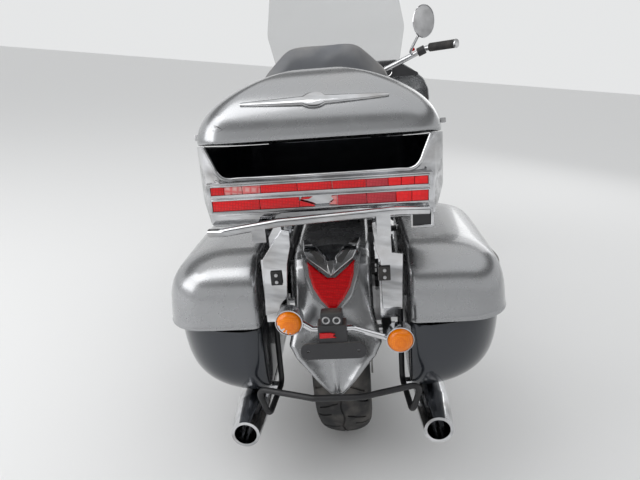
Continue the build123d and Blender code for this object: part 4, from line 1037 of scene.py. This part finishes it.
# Padded vinyl: each pad swells a little inside its cover
pads = {
    # name, slot, fill, how far it is drawn in, the most that it swells and rounds of smoothing
    "backrest": ("backrestPad", "pad_vinyl", 0.8, 0.001, 0.007, 120),
    "rider_seat": ("riderPad", "seat_vinyl", 0.85, 0.003, 0.009, 30),
    "passenger_seat": ("pillionPad", "seat_vinyl", 0.85, 0.003, 0.009, 30),
}
padding = {"voxel": 0.0055, "pressure": 4, "frames": 20, "settleRounds": 14}
# the backrest's flat back, and the bracket that holds it to the trunk
bracket = {"padBack": -0.098, "low": (-0.1397, -0.09, 0.88), "high": (-0.0975, 0.09, 0.94)}


def swollen(piece, cap):
    cloth = addModifier(piece, "CLOTH")
    cloth.settings.use_pressure = True
    cloth.settings.uniform_pressure_force = padding["pressure"]
    cloth.settings.effector_weights.gravity = 0
    scene = bpy.context.scene
    for number in range(1, padding["frames"] + 1):
        scene.frame_set(number)
    swelled = piece.evaluated_get(bpy.context.evaluated_depsgraph_get())
    places = [vertex.co.copy() for vertex in swelled.data.vertices]
    piece.modifiers.remove(cloth)
    for vertex, place in zip(piece.data.vertices, places):
        step = place - vertex.co
        if step.length > cap:
            step *= cap / step.length
        vertex.co += step
    scene.frame_set(1)


def smoothed(piece, rounds):
    addModifier(piece, "SMOOTH", factor=0.5, iterations=rounds)
    applyModifiers(piece)


def makePad(node):
    name, slot, fill, shrink, cap, rounds = pads[node]
    piece = copied(node, name)
    if node == "backrest":
        back = (bracket["padBack"], 0, 0)
        bpy.ops.mesh.bisect(plane_co=back, plane_no=(1, 0, 0), use_fill=True, clear_inner=True)
    doneEditing()
    addModifier(piece, "REMESH", mode="VOXEL", voxel_size=padding["voxel"])
    applyModifiers(piece)
    editing()
    selectAll()
    bpy.ops.transform.shrink_fatten(value=-shrink)
    doneEditing()
    smoothed(piece, rounds)
    swollen(piece, cap)
    smoothed(piece, padding["settleRounds"])
    subdivided(piece, 1)
    settle(piece, slot, replaces=[node], smooth=180)
    print(name, "made")


def makeBracket():
    settle(block("backrestBracket", bracket["low"], bracket["high"], 0.003), "black_plastic")


# Cockpit: a mirror, a red switch, dials, and ribbed grips with their bar ends
mirror = {
    "place": (1.112, -0.412, 1.31),  # where the turned bars hold it
    "size": (0.05, 0.073),
    "shell": [
        (0, -0.024), (0.55, -0.0215), (0.85, -0.014), (1, -0.003),
        (1, 0.0035), (0.955, 0.0045), (0.94, 0.002), (0, 0.002),
    ],
    "glass": [(0, 0.0036), (0.9, 0.0036), (0.935, 0.0028), (0.935, 0.0024), (0, 0.0024)],
    "stemFoot": (1.01, -0.3105, 1.09),  # on straight bars
    "stem": [(1.098, -0.352, 1.19), (1.12, -0.385, 1.245), (1.124, -0.408, 1.29)],
    "stemRadius": 0.0062,
}
switch = {"low": (1.013, -0.338, 1.096), "high": (1.027, -0.318, 1.11), "rounding": 0.003}
dials = {
    # across, height and radius
    "places": [(0.062, 1.088, 0.0405), (0.168, 1.096, 0.0205), (0.244, 1.096, 0.0205)],
    "face": 1.2402,
    "rim": [(0, 0), (0.001, 0.006), (0.004, 0.0078), (0.0062, 0.005), (0.006, 0), (0, 0)],
    "markedFrom": 0.03,  # smaller dials have no marks
    "marks": 9,
    "markHalf": 0.0009,
    "markReach": (0.74, 0.88),
    "markTurn": (-120, 30),
}
grips = {
    "start": (0.968, 0.378, 1.092),
    "end": (0.85, 0.446, 1.078),
    "bore": 0.0115,
    "radius": 0.0182,
    "ribRadius": 0.0196,
    "span": (0.0115, 0.1408),
    "ribs": 13,
    "ribStart": 0.0125,
    "ribSpan": 0.128,
    "ribShape": (0.0012, 0.62, 0.72),  # its rise, then the ends of its crest and its fall as shares
    "barEnd": [(0, 0.1415), (0.0196, 0.1415), (0.0202, 0.144), (0.0202, 0.149), (0.018, 0.1525), (0, 0.154)],
}


def makeMirror():
    spec = mirror
    squeeze = Matrix.Diagonal((*spec["size"], 1, 1))
    head = Matrix.Translation(spec["place"]) @ seenFromBehind(0) @ squeeze
    back = moved(lathe("mirrorShell", spec["shell"]), head)
    foot = parked.inverted() @ steered @ Vector(spec["stemFoot"])
    stem = tube("mirrorStem", [foot] + spec["stem"], spec["stemRadius"])
    whole = joined("mirror", [back, stem])
    settle(whole, "chrome", replaces=["mirror_right"], smooth=50, body="steering")
    glass = lathe("mirrorGlass", spec["glass"])
    settle(moved(glass, head), "alloy", smooth=50, body="steering")


def makeDials():
    spec = dials
    faces, rims = [], []
    for across, up, radius in spec["places"]:
        for side in (1, -1):
            place = backward((spec["face"], side * across, up))
            face = [(0, 0.0018), (radius * 0.94, 0.0018), (radius * 0.98, 0.0004), (0, 0.0004)]
            faces.append(moved(lathe("dialFace", face, 40), place))
            rim = [(radius + out, height) for out, height in spec["rim"]]
            rims.append(moved(lathe("dialRim", rim, 40), place))
            for mark in range(spec["marks"] if radius > spec["markedFrom"] else 0):
                half, (near, far), (first, step) = spec["markHalf"], spec["markReach"], spec["markTurn"]
                tick = block("dialMark", (-half, radius * near, 0.0019), (half, radius * far, 0.0024), 0.0002)
                rims.append(moved(tick, place @ Matrix.Rotation(radians(first + step * mark), 4, "Z")))
    settle(joined("dialFaces", faces), "black_plastic")
    settle(joined("dialRims", rims), "chrome")


def gripRows():
    spec = grips
    bore, radius, crest = spec["bore"], spec["radius"], spec["ribRadius"]
    low, high = spec["span"]
    pitch = spec["ribSpan"] / spec["ribs"]
    rise, crestEnd, fallEnd = spec["ribShape"]
    rows = [(bore, low), (radius, low)]
    for rib in range(spec["ribs"]):
        foot = spec["ribStart"] + rib * pitch
        rows += [(radius, foot), (crest, foot + rise)]
        rows += [(crest, foot + pitch * crestEnd), (radius, foot + pitch * fallEnd)]
    return rows + [(radius, high), (bore, high), (bore, low)]


def makeGrips():
    start, end = Vector(grips["start"]), Vector(grips["end"])
    along = (end - start).normalized()
    for side, name in ((1, "Left"), (-1, "Right")):
        flip = Vector((1, side, 1))
        turn = Vector((0, 0, 1)).rotation_difference(along * flip).to_matrix().to_4x4()
        foot = Matrix.Translation(start * flip) @ turn
        replaces = ["hand_grips"] if side > 0 else []
        grip = moved(lathe("grip" + name, gripRows(), 32), foot)
        settle(grip, "soft_rubber", steered, replaces, body="steering")
        settle(moved(lathe("barEnd" + name, grips["barEnd"], 32), foot), "chrome", steered, body="steering")


def makeCockpit():
    makeMirror()
    button = block("redSwitch", switch["low"], switch["high"], switch["rounding"])
    settle(button, "red_lens", steered, body="steering")
    makeDials()
    makeGrips()
    print("cockpit made")


def between(rows, share):
    # the row at a share of the table's length, blended from its two neighbours
    spot = min(max(share, 0), 1) * (len(rows) - 1)
    index = min(int(spot), len(rows) - 2)
    part = spot - index
    return [low + (high - low) * part for low, high in zip(rows[index], rows[index + 1])]


def skin(name, columns, rows, placeAt, wall):
    # a grid laid over a shape by a function of its two shares, from -1 to 1 across and 0 to 1 along
    deselect()
    bpy.ops.mesh.primitive_grid_add(x_subdivisions=columns, y_subdivisions=rows, size=2)
    piece = bpy.context.object
    piece.name = name
    for vertex in piece.data.vertices:
        vertex.co = placeAt(vertex.co.x, (vertex.co.y + 1) / 2)
    editing()
    selectAll()
    bpy.ops.mesh.remove_doubles(threshold=0.00005)
    faceOutward()
    addModifier(piece, "SOLIDIFY", thickness=wall, offset=0)
    return piece


# Rear fender: crowned over the wheel, flared at its tail and drawn to a curled point
rearFender = {
    "rows": [
        # along, height, half width, crown, depth of the side
        (0.226, 0.708, 0.096, 0.016, 0.06),
        (0.05, 0.72, 0.099, 0.016, 0.095),
        (-0.1, 0.7205, 0.0995, 0.016, 0.105),
        (-0.23, 0.7205, 0.1, 0.016, 0.118),
        (-0.288, 0.718, 0.1, 0.016, 0.118),
        (-0.322, 0.706, 0.1, 0.016, 0.11),
        (-0.3445, 0.684, 0.1, 0.016, 0.1),
        (-0.366, 0.642, 0.1, 0.018, 0.1),
        (-0.3935, 0.584, 0.1, 0.018, 0.1),
        (-0.408, 0.54, 0.106, 0.01, 0.085),
        (-0.421, 0.498, 0.117, -0.004, 0.045),
        (-0.429, 0.47, 0.1, -0.012, 0.014),
        (-0.437, 0.443, 0.072, -0.014, 0.004),
        (-0.4455, 0.415, 0.048, -0.013, 0.003),
        (-0.452, 0.393, 0.027, -0.009, 0.002),
        (-0.455, 0.38, 0.014, -0.005, 0.002),
    ],
    "grid": (50, 90),
    "wall": 0.0035,
    "turn": (0.6, 0.76),  # where its edge turns down, as shares from the middle
    "flat": 0.86,  # share of the width inside that turn
    "turnDepth": 0.022,
    "ridge": (0.006, 0.14, 0.6),  # height, half width, and the share along where it starts
    "look": 0.04,  # how far to either side its direction is taken
}


def onFender(across, along):
    spec = rearFender
    rows, flat, look = spec["rows"], spec["flat"], spec["look"]
    x, height, half, crown, side = between(rows, along)
    behind, ahead = between(rows, along - look), between(rows, along + look)
    run = Vector((ahead[0] - behind[0], 0, ahead[1] - behind[1])).normalized()
    inward = Vector((-run.z, 0, run.x))
    share, drop = abs(across), min(spec["turnDepth"], side)
    start, end = spec["turn"]
    if share < start:
        wide, deep = flat * share / start, crown * (share / start) ** 2
    elif share < end:
        turn = (share - start) / (end - start) * pi / 2
        wide, deep = flat + (1 - flat) * sin(turn), crown + drop * (1 - cos(turn))
    else:
        wide, deep = 1.0, crown + drop + side * (share - end) / (1 - end)
    tall, broad, ridgeStart = spec["ridge"]
    ridge = tall * max(0, 1 - share / broad) if along > ridgeStart else 0
    return Vector((x, wide * half * (1 if across > 0 else -1), height)) + inward * (deep - ridge)


def makeRearFender():
    piece = skin("fenderSkin", *rearFender["grid"], onFender, rearFender["wall"])
    subdivided(piece, 1)
    settle(piece, "silver_paint", replaces=["rear_fender"], smooth=50)
    print("rear fender made")


# Trim round the tail lamp: a raised bezel, and two faceted chrome arms that bend over the fender's top
lampTrim = {
    "bezel": [(0.0765, 0.147), (0.069, 0.085), (0.051, 0.032), (0.012, -0.012)],
    "bezelNotch": [(0.058, 0.118), (0.03, 0.092), (0.004, 0.07)],
    "arm": [
        (0.076, 0.185), (0.065, 0.186), (0.0114, 0.1297), (0.0113, 0.1148), (0.002, 0.0822),
        (0.026, 0.101), (0.0578, 0.125), (0.0687, 0.148),
    ],
    "slot": [(0.064, 0.166), (0.056, 0.1655), (0.0165, 0.125), (0.017, 0.115), (0.028, 0.113)],
    "centre": [
        (-0.0113, 0.1215), (0.0113, 0.1215), (0.0088, 0.101),
        (0.0028, 0.082), (-0.0028, 0.082), (-0.0088, 0.101),
    ],
    "bend": 0.145,
    "stretch": 1.95,
    "tilt": 64,
    "cuts": {
        # depth, rounding and how far out of the lamp's plane
        "lampBezel": (0.026, 0.0045, 0.001),
        "lampArm": (0.016, 0.0035, 0.018),
        "lampSlotShade": (0.002, 0.0004, 0.0268),
        "lampCentre": (0.014, 0.003, 0.0235),
    },
}


def bentOver(piece):
    # above the fender's corner the trim lies forward along its top
    bend = lampTrim["bend"]
    cutAcross(piece, (bend - 0.004, bend, bend + 0.004, bend + 0.02))
    fall, rise = sin(radians(lampTrim["tilt"])), cos(radians(lampTrim["tilt"]))
    for vertex in piece.data.vertices:
        across, up, out = vertex.co
        if up > bend:
            past = (up - bend) * lampTrim["stretch"]
            vertex.co = (across, bend + past * rise + out * fall, -past * fall + out * rise)


def flipped(points, side=-1):
    return [(side * across, up) for across, up in points][::side]


def lampPiece(name, outline, bent=False):
    depth, bevel, out = lampTrim["cuts"][name]
    piece = cutout(name, outline, depth, bevel)
    if bent:
        bentOver(piece)
    return moved(piece, lampPlane() @ Matrix.Translation((0, 0, out)))


def makeLampTrim():
    spec = lampTrim
    right, notch = spec["bezel"], spec["bezelNotch"]
    outline = right + flipped(right) + flipped(notch)[::-1] + notch[::-1]
    settle(lampPiece("lampBezel", outline), "silver_paint")
    arms, slotShades = [], []
    for side in (1, -1):
        arms.append(lampPiece("lampArm", flipped(spec["arm"], side), True))
        # each slot is a thin black sheet laid on its arm, painted shade for the slot's opening
        slotShades.append(lampPiece("lampSlotShade", flipped(spec["slot"], side), True))
    arms.append(lampPiece("lampCentre", spec["centre"]))
    settle(joined("lampArms", arms), "chrome")
    # the black sheets in the slots are painted shade
    settle(joined("lampSlotShades", slotShades), "black_plastic")
    print("lamp trim made")


# Chrome covers over the rack's posts, dented where the machine was hit
postCovers = {
    "Left": [
        (0.128, 0.779), (0.108, 0.806), (0.09, 0.802), (0.091, 0.764),
        (0.102, 0.72), (0.113, 0.6), (0.168, 0.584), (0.16, 0.735),
    ],
    "Right": [
        (-0.105, 0.813), (-0.148, 0.826), (-0.15, 0.736), (-0.176, 0.731),
        (-0.171, 0.588), (-0.123, 0.59), (-0.122, 0.715), (-0.113, 0.741),
    ],
}
dents = {
    "plane": -0.415,
    "cover": (0.005, 0.0018),  # thickness and rounding
    "cuts": [0.58 + 0.016 * step for step in range(1, 16)],
    "folds": (0.735, 0.08, 0.0035, 210),  # from what height, over what run, how deep and how finely
    "dent": (0.66, 0.05, -0.004),  # height, half height and depth
}


def makePostCovers():
    spec = dents
    start, run, fold, fine = spec["folds"]
    middle, half, dent = spec["dent"]
    for name, outline in postCovers.items():
        cover = cutout("postCover" + name, outline, *spec["cover"])
        cutAcross(cover, spec["cuts"])
        for vertex in cover.data.vertices:
            up = vertex.co.y
            creased = fold * sin(up * fine) * max(0, (up - start) / run)
            vertex.co.z += creased + dent * max(0, 1 - ((up - middle) / half) ** 2)
        settle(moved(cover, seenFromBehind(spec["plane"])), "chrome")
    print("post covers made")


# Small dark box with a chrome rim, low at the right of the rack
rackBox = {"low": (-0.566, -0.226, 0.844), "high": (-0.54, -0.185, 0.88), "rim": 0.0035}


def makeRackBox():
    spec = rackBox
    settle(block("rackBox", spec["low"], spec["high"], 0.003), "black_plastic")
    x, right, low = spec["low"]
    left, high = spec["high"][1], spec["high"][2]
    loop = [(x, right, low), (x, left, low), (x, left, high), (x, right, high), (x, right, low)]
    settle(tube("rackBoxRim", loop, spec["rim"], False), "chrome")


# Fuel tank: a teardrop with a filler cap
tank = {
    "rows": [
        # height, rear, front, half width
        (0.749, 0.565, 0.995, 0.128),
        (0.77, 0.545, 1.018, 0.155),
        (0.82, 0.531, 1.029, 0.168),
        (0.88, 0.531, 1.031, 0.164),
        (0.93, 0.548, 1.028, 0.142),
        (0.962, 0.595, 1.018, 0.108),
        (0.979, 0.68, 0.985, 0.062),
    ],
    "corners": (0.07, 0.07),
    "segments": 4,
    "tail": 0.56,  # width left at the seat
    "taper": 0.34,  # length over which it narrows
    "fall": 0.085,  # of its top towards the seat, how sharply, and the height that it is counted on
    "fallPower": 1.6,
    "depth": 0.23,
    "cap": [(0, 0.012), (0.024, 0.0115), (0.03, 0.0085), (0.0315, 0.0), (0.0315, -0.006), (0, -0.006)],
    "capPlace": (0.865, 0, 0.9775),
}


def makeTank():
    spec = tank
    piece = stacked("tank", evenly(spec["rows"]), spec["corners"], spec["segments"])
    gridTop(spec["segments"])
    faceOutward()
    rear, foot = spec["rows"][2][1], spec["rows"][0][0]
    for vertex in piece.data.vertices:
        share = min(1, (vertex.co.x - rear) / spec["taper"])
        vertex.co.y *= spec["tail"] + (1 - spec["tail"]) * share
        drop = spec["fall"] * (1 - share) ** spec["fallPower"]
        vertex.co.z -= drop * (vertex.co.z - foot) / spec["depth"]
    subdivided(piece, 3)
    settle(piece, "silver_paint", replaces=["fuel_tank"], smooth=60)
    cap = moved(lathe("fillerCap", spec["cap"], 40), Matrix.Translation(spec["capPlace"]))
    settle(cap, "chrome")
    print("tank made")


# Fairing: an elliptical nose, cut away below for the fork
fairing = {
    "rows": [
        # height, half width, rear, nose
        (0.706, 0.15, 1.32, 1.48),
        (0.73, 0.215, 1.28, 1.535),
        (0.77, 0.305, 1.252, 1.568),
        (0.82, 0.378, 1.247, 1.584),
        (0.88, 0.426, 1.246, 1.5865),
        (0.95, 0.449, 1.246, 1.5865),
        (1.0, 0.445, 1.246, 1.562),
        (1.05, 0.422, 1.247, 1.512),
        (1.095, 0.372, 1.249, 1.45),
        (1.13, 0.318, 1.252, 1.395),
        (1.147, 0.292, 1.256, 1.366),
    ],
    "grid": (64, 44),
    "wall": 0.004,
    "sweep": 0.172,  # radius and height that the fork sweeps
    "sweepTop": 0.99,
}


def onFairing(across, along):
    height, half, rear, nose = between(fairing["rows"], along)
    turn = across * pi / 2
    return Vector((rear + (nose - rear) * cos(turn), half * sin(turn), height))


def makeFairing():
    spec = fairing
    piece = skin("fairing", *spec["grid"], onFairing, spec["wall"])
    back = parked.inverted()
    pivot = back @ Vector(jointOf["steering_turn"]["pos_m"])
    axis = (back.to_3x3() @ Vector(jointOf["steering_turn"]["axis"])).normalized()
    axis *= 1 if axis.z > 0 else -1
    foot = pivot - axis * (pivot.z / axis.z)
    deselect()
    bpy.ops.mesh.primitive_cylinder_add(vertices=64, radius=spec["sweep"], depth=spec["sweepTop"])
    cutter = bpy.context.object
    turn = Vector((0, 0, 1)).rotation_difference(axis).to_matrix().to_4x4()
    moved(cutter, Matrix.Translation(foot + axis * spec["sweepTop"] / 2) @ turn)
    addModifier(piece, "BOOLEAN", operation="DIFFERENCE", object=cutter, solver="EXACT")
    applyModifiers(piece)
    bpy.data.objects.remove(cutter)
    settle(piece, "silver_paint", replaces=["fairing_shell"], smooth=40)
    print("fairing made")


dressNodes()
trunkLidPiece = makeTrunkLid()
makeMoulding(trunkLidPiece)
makeTabs()
makeLidMarks(trunkLidPiece)
makeGarnish()
makeStrips()
makePosts()
makeTailLamp()
makeSignals()
makePlateArm()
makeBags()
for (node, radius, half, axle, body), place in zip(tyres["wheels"], (parked, steered)):
    makeTyre(node, radius, half, axle, body, place)
for node in pads:
    makePad(node)
makeBracket()
makeCockpit()
makeRearFender()
makeLampTrim()
makePostCovers()
makeRackBox()
makeTank()
makeFairing()
addCamera()
addLamps()
addWorld()
addFloor()
scene = bpy.context.scene
scene.view_settings.view_transform = "Standard"
